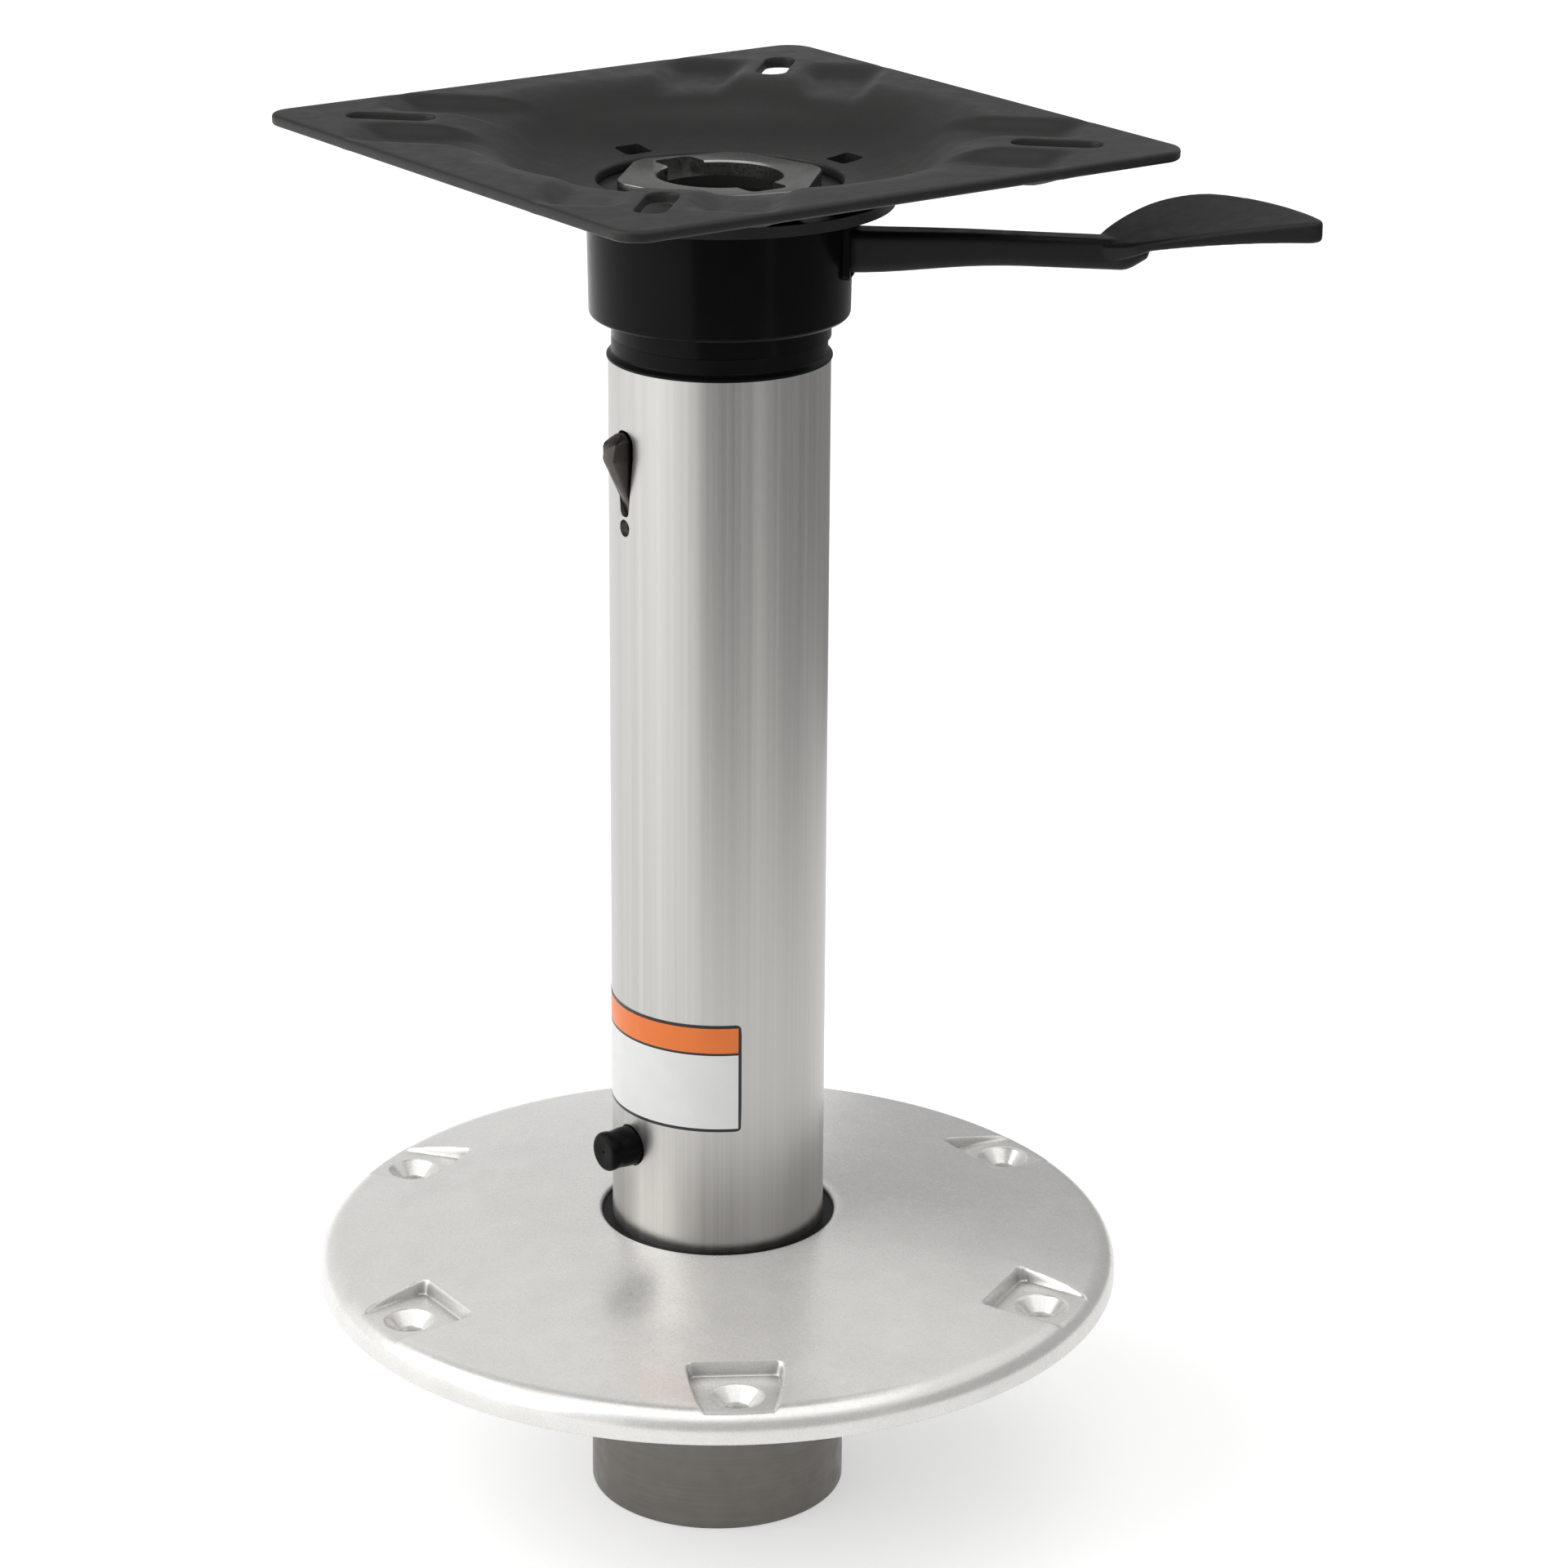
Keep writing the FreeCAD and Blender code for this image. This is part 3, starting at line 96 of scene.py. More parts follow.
def shade(description, default):
    """A linear colour setting."""
    return FloatVectorProperty(description=description, default=default, size=3,
                               min=0.0, max=1.0, subtype="COLOR")


class DeckPlateSizes(PropertyGroup):
    """Sizes of the deck plate casting and its socket."""

    diameter: length("Outside diameter of the deck plate", 0.2286)
    edge_height: length("Height of the plate at its rim, before the round", 0.009)
    lip_height: length("Height of the plate at the post", 0.0182)
    crown: length("How far the dome stands proud of a straight cone", 0.0006)
    rim_round: length("Radius that rolls the rim over", 0.0065)
    bolt_circle: length("Diameter of the circle of screws", 0.2032)
    recess_floor: length("Height of the flat floor of each screw recess", 0.0084)
    recess_width: length("Width of a screw recess at its inner wall", 0.0262)
    wall_run: length("Run of the sloped wall of a recess", 0.0010)
    bolt_hole: length("Diameter of a screw hole", 0.007)
    bolt_sink: length("Diameter of a countersink", 0.0143)
    turn: bearing("Angle of the first recess from the lever", 43)


class PostSizes(PropertyGroup):
    """Sizes of the post, its button, its catch and the sticker on it."""

    diameter: length("Outside diameter of the post", 0.0603)
    wall: length("Wall of the post", 0.0023)
    button_height: length("Height of the button's axis", 0.0445)
    button_diameter: length("Diameter of the button", 0.0113)
    button_reach: length("How far the button stands out of the post", 0.0094)
    catch_height: length("Height of the top of the catch", 0.252)
    sticker_low: length("Height of the sticker's lower edge", 0.0541)
    sticker_high: length("Height of the sticker's upper edge", 0.0861)
    sticker_width: length("Width of the sticker round the post", 0.062)
    sticker_turn: bearing("Angle of the sticker's right edge", -67.5)


class SeatPlateSizes(PropertyGroup):
    """Sizes of the stamped seat plate."""

    side: length("Side of the square plate", 0.1778)
    gauge: length("Thickness of the sheet", 0.003)
    corner: length("Radius of the plate's corners", 0.008)
    bowl_depth: length("Drop from the rim to the bowl's floor", 0.013)
    bowl_floor: length("Radius of the flat floor", 0.037)
    bowl_brim: length("Radius where the bowl meets the rim", 0.078)
    opening: length("Radius of the hole in the bowl's floor", 0.033)
    valley_offset: length("Distance of each valley from its corner's diagonal", 0.0197)
    valley_width: length("Width of each pressed valley", 0.021)
    valley_depth: length("Depth of each pressed valley", 0.0027)
    slot_length: length("Length of a bolt slot", 0.0244)
    slot_width: length("Width of a bolt slot", 0.0084)
    columns: IntProperty(description="Mesh columns round the plate, a multiple of 4",
                         default=480, min=160, max=720, step=4)


class LeverSizes(PropertyGroup):
    """Sizes of the lever's handle."""

    stem_width: length("Width of the stem at the head", 0.0115)
    stem_height: length("Height of the stem at the head", 0.0114)
    paddle_length: length("Length of the paddle", 0.0523)
    paddle_far: length("Reach of the paddle's rounded side", 0.0218)
    paddle_near: length("Reach of the paddle's straight side", 0.0093)
    paddle_edge: length("Radius of the paddle's edges", 0.0012)
    paddle_tilt: bearing("Lean of the paddle about the stem", 8.7)


class FinishColours(PropertyGroup):
    """Colours of the finishes."""

    cast_aluminium: shade("Deck plate", (0.74, 0.73, 0.705))
    # Partly painted shade: the socket's colour is set darker than dull aluminium, standing in for the
    # shade under the deck plate as well as its mill finish.
    socket_aluminium: shade("Socket under the deck plate", (0.18, 0.17, 0.157))
    post_aluminium: shade("Post tube", (0.478, 0.467, 0.449))
    bush_plastic: shade("Bushings and collar", (0.0045, 0.0045, 0.0045))
    button_plastic: shade("Snap button", (0.0022, 0.0022, 0.0025))
    housing_plastic: shade("Head housing", (0.0035, 0.0035, 0.0038))
    handle_plastic: shade("Lever handle", (0.0055, 0.0052, 0.005))
    # Partly painted shade: the seat plate's black is its own coat, while the carrier under the hub is
    # black so that the gap round the hub shows as dark as shade.
    black_paint: shade("Seat plate and carrier", (0.0135, 0.013, 0.0125))
    bright_steel: shade("Hub plate, rivet, pin and screws", (0.25, 0.246, 0.24))
    # Partly painted shade: this dark colour is the catch's own brownish tone, and it also keeps the
    # spindle's bore as black as the shade in the hole.
    spring_steel: shade("Catch, springs, spindle and brake", (0.075, 0.066, 0.059))
    lining_rubber: shade("Brake lining", (0.02, 0.02, 0.02))
    sticker_field: shade("Main field of the sticker", (0.72, 0.72, 0.715))
    sticker_band: shade("Upper band of the sticker", (0.75, 0.175, 0.028))
    sticker_border: shade("Thin border of the sticker", (0.010, 0.010, 0.010))


class StageSettings(PropertyGroup):
    """The camera, the lamps and the floor."""

    camera_distance: length("Level distance to the camera", 1.24055, 20)
    camera_height: length("Height of the camera over the deck", 0.58884, 20)
    camera_turn: bearing("Angle of the camera round the post", 10.04)
    camera_yaw: bearing("Aim to the right of the post", 0.84)
    camera_pitch: bearing("Aim below the horizon", 19.62)
    camera_roll: bearing("Roll of the picture", 0.40)
    lens: FloatProperty(description="Focal length on a 36 mm sensor", default=108.52,
                        min=10, max=300, unit="CAMERA")
    key_power: power("Power of the lamp on the left", 28.0)
    fill_power: power("Power of the lamp above", 15.0)
    sky_strength: FloatProperty(description="Strength of the even light all round",
                                default=0.55, min=0, max=2)
    floor_colour: shade("Colour of the floor", (0.86, 0.86, 0.855))


# Meshes

def add_object(name, data):
    """An object for a mesh, a lamp or a camera, linked to the scene."""
    item = bpy.data.objects.new(name, data)
    bpy.context.scene.collection.objects.link(item)
    return item


def new_piece(name, points, faces, prints=()):
    """An object of one closed mesh with its faces turned outwards.

    Prints give each face its material, and then points that fall together are joined.
    """
    mesh = bpy.data.meshes.new(name)
    mesh.from_pydata(points, [], faces)
    if prints:
        mesh.polygons.foreach_set("material_index", prints)
    shell = bmesh.new()
    shell.from_mesh(mesh)
    if prints:
        bmesh.ops.remove_doubles(shell, verts=shell.verts, dist=0.002 * MM)
    bmesh.ops.recalc_face_normals(shell, faces=shell.faces)
    shell.to_mesh(mesh)
    shell.free()
    return add_object(name, mesh)


def grid_piece(name, points, rows_meet=False):
    """A mesh over rows of points whose columns close round, with rows that meet or end in caps."""
    rows, columns, _ = points.shape
    index = np.arange(rows * columns).reshape(rows, columns)
    low = index if rows_meet else index[:-1]
    high = np.roll(index, -1, 0) if rows_meet else index[1:]
    quads = np.stack([low, np.roll(low, -1, 1), np.roll(high, -1, 1), high], -1).reshape(-1, 4)
    faces = quads.tolist()
    if not rows_meet:
        faces.append(index[0][::-1].tolist())
        faces.append(index[-1].tolist())
    return new_piece(name, points.reshape(-1, 3).tolist(), faces)


def rounded_path(corners, steps=6):
    """A closed path through corners of x, y and radius, with an arc at each one that has a radius."""
    path = []
    count = len(corners)
    for place, (x, y, radius) in enumerate(corners):
        here = np.array([x, y])
        back = np.array(corners[place - 1][:2]) - here
        ahead = np.array(corners[(place + 1) % count][:2]) - here
        if radius <= 0:
            path.append(here)
            continue
        back = back / np.linalg.norm(back)
        ahead = ahead / np.linalg.norm(ahead)
        half = math.acos(max(-1.0, min(1.0, float(back @ ahead)))) / 2
        middle = back + ahead
        centre = here + middle / np.linalg.norm(middle) * radius / math.sin(half)
        first = here + back * radius / math.tan(half) - centre
        last = here + ahead * radius / math.tan(half) - centre
        start = math.atan2(first[1], first[0])
        sweep = (math.atan2(last[1], last[0]) - start + math.pi) % math.tau - math.pi
        for step in range(steps + 1):
            angle = start + sweep * step / steps
            path.append(centre + radius * np.array([math.cos(angle), math.sin(angle)]))
    return np.array(path)


def lathe(name, corners, count, steps=6):
    """A turned ring whose closed profile has corners of radius, height and round."""
    profile = rounded_path(corners, steps)
    turn = np.linspace(0, math.tau, count, endpoint=False)
    points = np.empty((len(profile), count, 3))
    points[:, :, 0] = profile[:, :1] * np.cos(turn)
    points[:, :, 1] = profile[:, :1] * np.sin(turn)
    points[:, :, 2] = profile[:, 1:]
    return grid_piece(name, points, True)


def stack_piece(name, sections):
    """A mesh lofted through closed sections of as many points each, capped at both ends."""
    return grid_piece(name, np.array(sections))


def upright(name, outline, levels, x=0.0, y=0.0):
    """A prism of a plan outline through some levels, set out from the origin."""
    return stack_piece(name, [[(x + a, y + b, z) for a, b in outline] for z in levels])


def plug(name, rounds, count):
    """A turned plug through circles of radius and height."""
    return stack_piece(name, [[(x, y, height) for x, y in circle(radius, count)]
                              for radius, height in rounds])


def pillow(name, outline, top, bottom, edge, rings=12, steps=5):
    """A closed moulding on a plan outline, with rounded edges between its two surfaces."""
    outline = np.array(outline)
    centre = outline.mean(0)
    along = np.roll(outline, -1, 0) - np.roll(outline, 1, 0)
    outward = np.stack([along[:, 1], -along[:, 0]], 1)
    outward /= np.linalg.norm(outward, axis=1)[:, None]
    inner = outline - outward * edge
    shares = np.linspace(0.05, 1, rings, endpoint=False)
    turns = np.linspace(0, math.pi / 2, steps + 1)
    plans = [(centre + (inner - centre) * share, 0) for share in shares]
    plans += [(outline - outward * edge * (1 - math.sin(turn)), edge * (1 - math.cos(turn)))
              for turn in turns]
    low = [np.column_stack([plan, bottom(plan) + tuck]) for plan, tuck in plans]
    high = [np.column_stack([plan, top(plan) - tuck]) for plan, tuck in plans]
    return grid_piece(name, np.array(low + high[::-1]))


def circle(radius, count=48):
    """A circle about the origin."""
    return [(radius * math.cos(turn), radius * math.sin(turn))
            for turn in np.linspace(0, math.tau, count, endpoint=False)]


def stadium(long, wide, steps=10):
    """A slot's outline along X, centred on the origin."""
    half = max(long - wide, 0) / 2
    bend = wide / 2
    turns = np.linspace(-math.pi / 2, math.pi / 2, steps)
    right = [(half + bend * math.cos(turn), bend * math.sin(turn)) for turn in turns]
    left = [(-x, -y) for x, y in right]
    return right + left


def rounded_box(long, wide, bend, steps=5):
    """A rounded rectangle's outline, centred on the origin."""
    x, y = long / 2, wide / 2
    return rounded_path([(-x, -y, bend), (x, -y, bend), (x, y, bend), (-x, y, bend)], steps)


def carve(piece, cutters, operation="DIFFERENCE"):
    """Takes the cutters out of a piece, or adds them to it, and removes them."""
    for cutter in cutters:
        step = piece.modifiers.new("carve", "BOOLEAN")
        step.operation = operation
        step.solver = "EXACT"
        step.object = cutter
        bake(piece)
        old = cutter.data
        bpy.data.objects.remove(cutter)
        bpy.data.meshes.remove(old)


def bake(piece):
    """Puts the result of the modifiers in the piece's mesh."""
    bpy.context.view_layer.update()
    graph = bpy.context.evaluated_depsgraph_get()
    mesh = bpy.data.meshes.new_from_object(piece.evaluated_get(graph))
    old = piece.data
    piece.modifiers.clear()
    piece.data = mesh
    mesh.name = piece.name
    bpy.data.meshes.remove(old)


def move(piece, matrix):
    """Moves the mesh itself, so that the object stays at the origin."""
    piece.data.transform(matrix)


def smooth(piece, angle=32.0):
    """Smooth shading, with edges sharper than the angle kept crisp."""
    piece.data.shade_smooth()
    piece.data.set_sharp_from_angle(angle=math.radians(angle))


def true_round(piece, radii):
    """Gives walls that are round about Z their exact normals, so that cuts leave no facets."""
    mesh = piece.data
    normals = []
    for face in mesh.polygons:
        for corner in face.loop_indices:
            spot = mesh.vertices[mesh.loops[corner].vertex_index].co
            reach = math.hypot(spot.x, spot.y)
            side = face.normal.x * spot.x + face.normal.y * spot.y
            fits = any(abs(reach - radius) < 0.05 * MM for radius in radii)
            if fits and abs(side) > 0.97 * reach:
                way = math.copysign(1 / reach, side)
                normals.append((spot.x * way, spot.y * way, 0))
            else:
                normals.append((0, 0, 0))
    mesh.normals_split_custom_set(normals)


def settle(piece, body, slot, *nodes):
    """Lets a piece ride on its body, in the place of its CAD nodes, with its finish."""
    if not piece.data.materials:
        piece.data.materials.append(finish_of(slot))
    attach(piece, body)
    if nodes:
        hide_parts(*nodes)


def ease(value, low, high):
    """Rises smoothly from 0 at low to 1 at high."""
    share = np.clip((value - low) / (high - low), 0, 1)
    return share * share * (3 - 2 * share)


# Finishes

def fill(node, values):
    """Sets a node's input sockets by name."""
    for socket, value in values.items():
        node.inputs[socket].default_value = value


def map_range(tree, value, low, high, start=0.0, end=1.0):
    """The value's span from start to end mapped to a new one."""
    span = tree.nodes.new("ShaderNodeMapRange")
    fill(span, {"From Min": start, "From Max": end, "To Min": low, "To Max": high})
    tree.links.new(value, span.inputs["Value"])
    return span.outputs["Result"]


def reckon(tree, operation, first, second):
    """A sum, a product or the like of two values."""
    step = tree.nodes.new("ShaderNodeMath")
    step.operation = operation
    tree.links.new(first, step.inputs[0])
    tree.links.new(second, step.inputs[1])
    return step.outputs["Value"]


class Finish:
    """A node material: one shader and the textures that drive it."""

    def __init__(self, name, colour, roughness, metallic=0.0, specular=0.5):
        material = bpy.data.materials.new(name + "_finish")
        material.use_nodes = True
        self.tree = material.node_tree
        self.shader = self.tree.nodes["Principled BSDF"]
        fill(self.shader, {"Base Color": (*colour, 1), "Roughness": roughness,
                           "Metallic": metallic, "Specular IOR Level": specular})
        self.place = self.node("ShaderNodeTexCoord")

    def node(self, kind):
        return self.tree.nodes.new(kind)

    def join(self, source, target):
        self.tree.links.new(source, target)

    def grain(self, size, stretch=(1, 1, 1), detail=3.0, roughness=0.55):
        """Noise with marks of about that size, in metres, drawn out by the stretch."""
        mapping = self.node("ShaderNodeMapping")
        fill(mapping, {"Scale": tuple(1 / part for part in stretch)})
        self.join(self.place.outputs["Object"], mapping.inputs["Vector"])
        noise = self.node("ShaderNodeTexNoise")
        fill(noise, {"Scale": 1 / size, "Detail": detail, "Roughness": roughness})
        self.join(mapping.outputs["Vector"], noise.inputs["Vector"])
        return noise.outputs["Fac"]

    def tint(self, value, low, high, start=0.3, end=0.7):
        """Colour between two strengths of the finish's own colour, over a range of the value."""
        base = self.shader.inputs["Base Color"]
        blend = self.node("ShaderNodeMix")
        blend.data_type = "RGBA"
        blend.blend_type = "MULTIPLY"
        fill(blend, {"Factor": 1.0})
        if base.is_linked:
            self.join(base.links[0].from_socket, blend.inputs[MIX_FIRST])
        else:
            blend.inputs[MIX_FIRST].default_value = base.default_value
        self.join(map_range(self.tree, value, low, high, start, end), blend.inputs[MIX_SECOND])
        self.join(blend.outputs[MIX_RESULT], base)

    def gloss(self, value, low, high):
        """Roughness between two values, over the middle of a grain."""
        self.join(map_range(self.tree, value, low, high, 0.3, 0.7), self.shader.inputs["Roughness"])

    def shelter(self, distance):
        """How open the surface is to its surroundings within that distance, a mask for painting shade
        into hollows.
        """
        corner = self.node("ShaderNodeAmbientOcclusion")
        corner.samples = 8
        fill(corner, {"Distance": distance})
        return corner.outputs["AO"]

    def relief(self, value, height):
        """Surface relief of that height, in metres."""
        bump = self.node("ShaderNodeBump")
        fill(bump, {"Distance": height, "Strength": 1.0})
        self.join(value, bump.inputs["Height"])
        self.join(bump.outputs["Normal"], self.shader.inputs["Normal"])


def cast_aluminium(name, colour):
    """Fine satin casting: a tight grain over faint cloudy tone, with painted shade darkening its
    recesses and hollows.
    """
    finish = Finish(name, colour, 0.26, metallic=0.5)
    fine = finish.grain(0.5 * MM, detail=2)
    cloud = finish.grain(14 * MM, detail=4)
    finish.tint(fine, 0.95, 1.04)
    finish.tint(cloud, 0.96, 1.03)
    # Painted shade: the base colour darkens down to 0.22 of itself where ambient occlusion finds
    # hollows, as in the screw recesses.
    finish.tint(finish.shelter(5 * MM), 0.22, 1.0, 0.4, 0.92)
    finish.gloss(finish.grain(2.2 * MM, detail=4), 0.22, 0.3)
    finish.relief(fine, 0.006 * MM)


def socket_aluminium(name, colour):
    """Dull mill finish with faint turning marks, in a colour darkened partly as painted shade under the
    deck plate.
    """
    finish = Finish(name, colour, 0.42, metallic=1.0)
    marks = finish.grain(0.8 * MM, stretch=(30, 30, 1), detail=3)
    finish.tint(marks, 0.94, 1.04)
    finish.tint(finish.grain(18 * MM, detail=4), 0.93, 1.05)
    finish.gloss(finish.grain(5 * MM, detail=3), 0.36, 0.5)
    finish.relief(marks, 0.02 * MM)


def post_aluminium(name, colour):
    """Drawn tube, satin anodised, with long die lines up its length."""
    finish = Finish(name, colour, 0.34, metallic=1.0)
    lines = finish.grain(2.6 * MM, stretch=(1, 1, 300), detail=5, roughness=0.6)
    hair = finish.grain(0.6 * MM, stretch=(1, 1, 400), detail=2)
    finish.tint(lines, 0.93, 1.04, 0.38, 0.62)
    finish.tint(hair, 0.975, 1.02)
    finish.gloss(lines, 0.31, 0.38)
    finish.relief(hair, 0.008 * MM)


def moulded_black(name, colour, roughness, specular, size, height):
    """Black moulded plastic or rubber with a fine spark-eroded grain."""
    finish = Finish(name, colour, roughness, specular=specular)
    finish.tint(finish.grain(9 * MM, detail=4), 0.85, 1.18)
    finish.gloss(finish.grain(4 * MM, detail=4), roughness * 0.88, roughness * 1.15)
    finish.relief(finish.grain(size, detail=2), height)


def black_paint(name, colour):
    """Satin black coat over sheet metal, with a little orange peel."""
    finish = Finish(name, colour, 0.42, specular=0.25)
    finish.tint(finish.grain(25 * MM, detail=4), 0.88, 1.14)
    finish.tint(finish.grain(0.7 * MM, detail=2), 0.9, 1.1)
    finish.gloss(finish.grain(6 * MM, detail=4), 0.38, 0.48)
    finish.relief(finish.grain(1.1 * MM, detail=2), 0.02 * MM)


def plain_steel(name, colour, roughness, stretch):
    """Bare steel with fine marks along one way."""
    finish = Finish(name, colour, roughness, metallic=1.0)
    marks = finish.grain(0.7 * MM, stretch=stretch, detail=4)
    finish.tint(marks, 0.93, 1.05)
    finish.tint(finish.grain(6 * MM, detail=4), 0.9, 1.06)
    finish.gloss(marks, roughness * 0.85, roughness * 1.2)
    finish.relief(marks, 0.003 * MM)


def sticker_film(name, colour):
    """Printed vinyl film under a thin clear layer."""
    finish = Finish(name, colour, 0.34, specular=0.4)
    finish.tint(finish.grain(7 * MM, detail=3), 0.97, 1.02)
    finish.gloss(finish.grain(3 * MM, detail=3), 0.3, 0.4)
    finish.relief(finish.grain(1.6 * MM, detail=2), 0.008 * MM)


FINISHES = {
    "cast_aluminium": (cast_aluminium,),
    "socket_aluminium": (socket_aluminium,),
    "post_aluminium": (post_aluminium,),
    "black_paint": (black_paint,),
    # Roughness, specular level, and the size and height of the grain
    "bush_plastic": (moulded_black, 0.34, 0.06, 0.5 * MM, 0.008 * MM),
    "button_plastic": (moulded_black, 0.3, 0.07, 0.6 * MM, 0.01 * MM),
    "housing_plastic": (moulded_black, 0.2, 0.07, 1.5 * MM, 0.006 * MM),
    "handle_plastic": (moulded_black, 0.48, 0.24, 0.45 * MM, 0.02 * MM),
    "lining_rubber": (moulded_black, 0.7, 0.3, 0.4 * MM, 0.04 * MM),
    # Roughness and stretch of the marks
    "bright_steel": (plain_steel, 0.3, (1, 1, 1)),
    "spring_steel": (plain_steel, 0.36, (1, 1, 12)),
    "sticker_field": (sticker_film,),
    "sticker_band": (sticker_film,),
    "sticker_border": (sticker_film,),
}


def finish_of(slot):
    """The finish of a slot, made once. The frame's own plain materials have the bare names."""
    name = slot + "_finish"
    if name not in bpy.data.materials:
        maker, *values = FINISHES[slot]
        maker(slot, getattr(bpy.context.scene.finish_colours, slot), *values)
    return bpy.data.materials[name]


# Deck plate

# How far the columns of a recess's wall lie in from its edge, in millimetres
WALL_STEPS = (1.9, 1.6, 1.35, 1.1, 0.85, 0.6, 0.35, 0.1, -0.15, -0.4, -0.7)
# Height of the hollow under the plate
ROOF = 6 * MM


def recess_start(sizes):
    """Reach of the inner wall of the recesses."""
    return sizes.bolt_circle / 2 - 12.6 * MM


def recess_half_width(sizes, reach):
    """Half the width of a screw recess at a distance from the post, bowed at its sides."""
    share = np.clip((reach - recess_start(sizes)) / (27.3 * MM), 0, 1)
    return sizes.recess_width / 2 - 4.6 * MM * share * share


def deck_rows(sizes):
    """The casting's closed profile as rows of reach and height, finer over the recesses."""
    rim = sizes.diameter / 2
    outline = rounded_path([
        (SOCKET_BORE, SOCKET_TOP, 0), (SOCKET_STEP, SOCKET_TOP, 0), (SOCKET_STEP, 1.1 * MM, 0),
        (36.8 * MM, 0, 0), (44 * MM, 0, 0.4 * MM), (44.6 * MM, ROOF, 0.8 * MM),
        (85.4 * MM, ROOF, 0.8 * MM), (86 * MM, 0, 0.4 * MM), (rim, 0, 0.8 * MM),
        (rim, sizes.edge_height, sizes.rim_round), (SOCKET_BORE, sizes.lip_height, 1.2 * MM)], 8)
    start = recess_start(sizes)
    stops = np.concatenate([
        np.linspace(rim - sizes.rim_round - 0.4 * MM, start + 4 * MM, 15),
        np.linspace(start + 3.3 * MM, start - 1.4 * MM, 22),
        np.linspace(start - 2.4 * MM, SOCKET_BORE + 1.6 * MM, 26),
    ])
    rows = []
    for (reach, height), (following, lower) in zip(outline, np.roll(outline, -1, 0)):
        rows.append((reach, height))
        if height > 8 * MM and reach > 90 * MM and following < 40 * MM:
            slope = (lower - height) / (following - reach)
            for stop in stops[stops < reach - 0.2 * MM]:
                share = (stop - SOCKET_BORE) / (reach - SOCKET_BORE)
                crown = sizes.crown * 4 * share * (1 - share)
                rows.append((stop, height + slope * (stop - reach) + crown))
    return rows


def deck_point(sizes, reach, height, zone, part):
    """A point of the profile in one mesh column, sunk where it lies in the screw recess."""
    full = 86 * MM
    edge = recess_half_width(sizes, max(reach, full))
    if zone == "inside":
        across = (edge - 2.1 * MM) * part
    elif zone == "wall":
        across = edge - part
    else:
        across = edge - WALL_STEPS[-1] * MM
    across *= min(reach / full, 1.0)
    straight = float(ease(reach, 80 * MM, 88 * MM) * (1 - ease(reach, 92 * MM, 101 * MM)))
    bowed = math.sqrt(max(reach * reach - across * across, 0))
    x, y = bowed + (reach - bowed) * straight, across
    if zone == "outside":
        turn = math.atan2(y, x)
        turn += (math.radians(30) - turn) * part
        away = reach + (math.hypot(x, y) - reach) * float(1 - ease(part, 0, 0.8))
        x, y = away * math.cos(turn), away * math.sin(turn)
    if height > sizes.recess_floor:
        start = recess_start(sizes)
        gap_side = recess_half_width(sizes, max(x, start)) - y
        gap_back = x - start
        soft = 2.2 * MM
        lean = max(soft - abs(gap_side - gap_back), 0) / soft
        gap = min(gap_side, gap_back) - lean * lean * soft * 0.25
        sink = float(ease(gap, -0.35 * MM, sizes.wall_run))
        height -= (height - sizes.recess_floor) * sink
    elif 45 * MM < reach < 85 * MM:
        # A rib below the roof, along the middle of the recess
        height *= float(ease(abs(y), 1.2 * MM, 2.6 * MM))
    return x, y, height


def make_deck_plate(sizes):
    """The casting: mesh columns that follow the sides of six recesses, then the screw holes."""
    half = [("inside", part) for part in (0.0, 0.13, 0.26, 0.39, 0.52, 0.64, 0.75, 0.85, 0.93)]
    half += [("wall", step * MM) for step in WALL_STEPS]
    half += [("outside", part) for part in np.linspace(0, 1, 17)[1:]]
    rows = []
    for reach, height in deck_rows(sizes):
        ahead = [deck_point(sizes, reach, height, *column) for column in half]
        rows.append([(x, -y, z) for x, y, z in reversed(ahead[1:-1])] + ahead)
    sector = np.array(rows)
    turns = [sizes.turn + math.radians(60) * place for place in range(6)]
    parts = []
    for turn in turns:
        cos, sin = math.cos(turn), math.sin(turn)
        parts.append(sector @ np.array([[cos, sin, 0], [-sin, cos, 0], [0, 0, 1]]))
    plate = grid_piece("deck_plate", np.concatenate(parts, axis=1), True)
    floor, hole, sink = sizes.recess_floor, sizes.bolt_hole / 2, sizes.bolt_sink / 2
    neck = floor - (sink - hole)
    profile = [(hole + 0.5 * MM, -2 * MM), (hole + 0.4 * MM, 0), (hole, 0.4 * MM),
               (hole, neck - 0.2 * MM), (hole + 0.25 * MM, neck + 0.1 * MM),
               (sink - 0.3 * MM, floor - 0.45 * MM), (sink, floor - 0.12 * MM),
               (sink + 0.5 * MM, floor + 0.02 * MM), (sink + 3 * MM, floor + 6 * MM)]
    cutters = []
    for turn in turns:
        cutter = plug("screw_hole", profile, 64)
        spot = Vector((math.cos(turn), math.sin(turn), 0)) * sizes.bolt_circle / 2
        move(cutter, Matrix.Translation(spot))
        cutters.append(cutter)
    carve(plate, cutters)
    smooth(plate, 40)
    return plate


def make_socket():
    """The socket tube under the deck, with softened ends."""
    socket = lathe("deck_socket", [
        (SOCKET_BORE, DECK_FOOT, 0.5 * MM), (SOCKET_RADIUS, DECK_FOOT, 0.7 * MM),
        (SOCKET_RADIUS, 0, 0.15 * MM), (SOCKET_STEP, 0, 0), (SOCKET_STEP, SOCKET_TOP, 0),
        (SOCKET_BORE, SOCKET_TOP, 0)], 256)
    smooth(socket)
    return socket


# Post

def radial(turn, height):
    """A frame whose X runs out of the post at an angle, with Z up, at a height on the axis."""
    return Matrix.Translation((0, 0, height)) @ Matrix.Rotation(turn, 4, "Z")


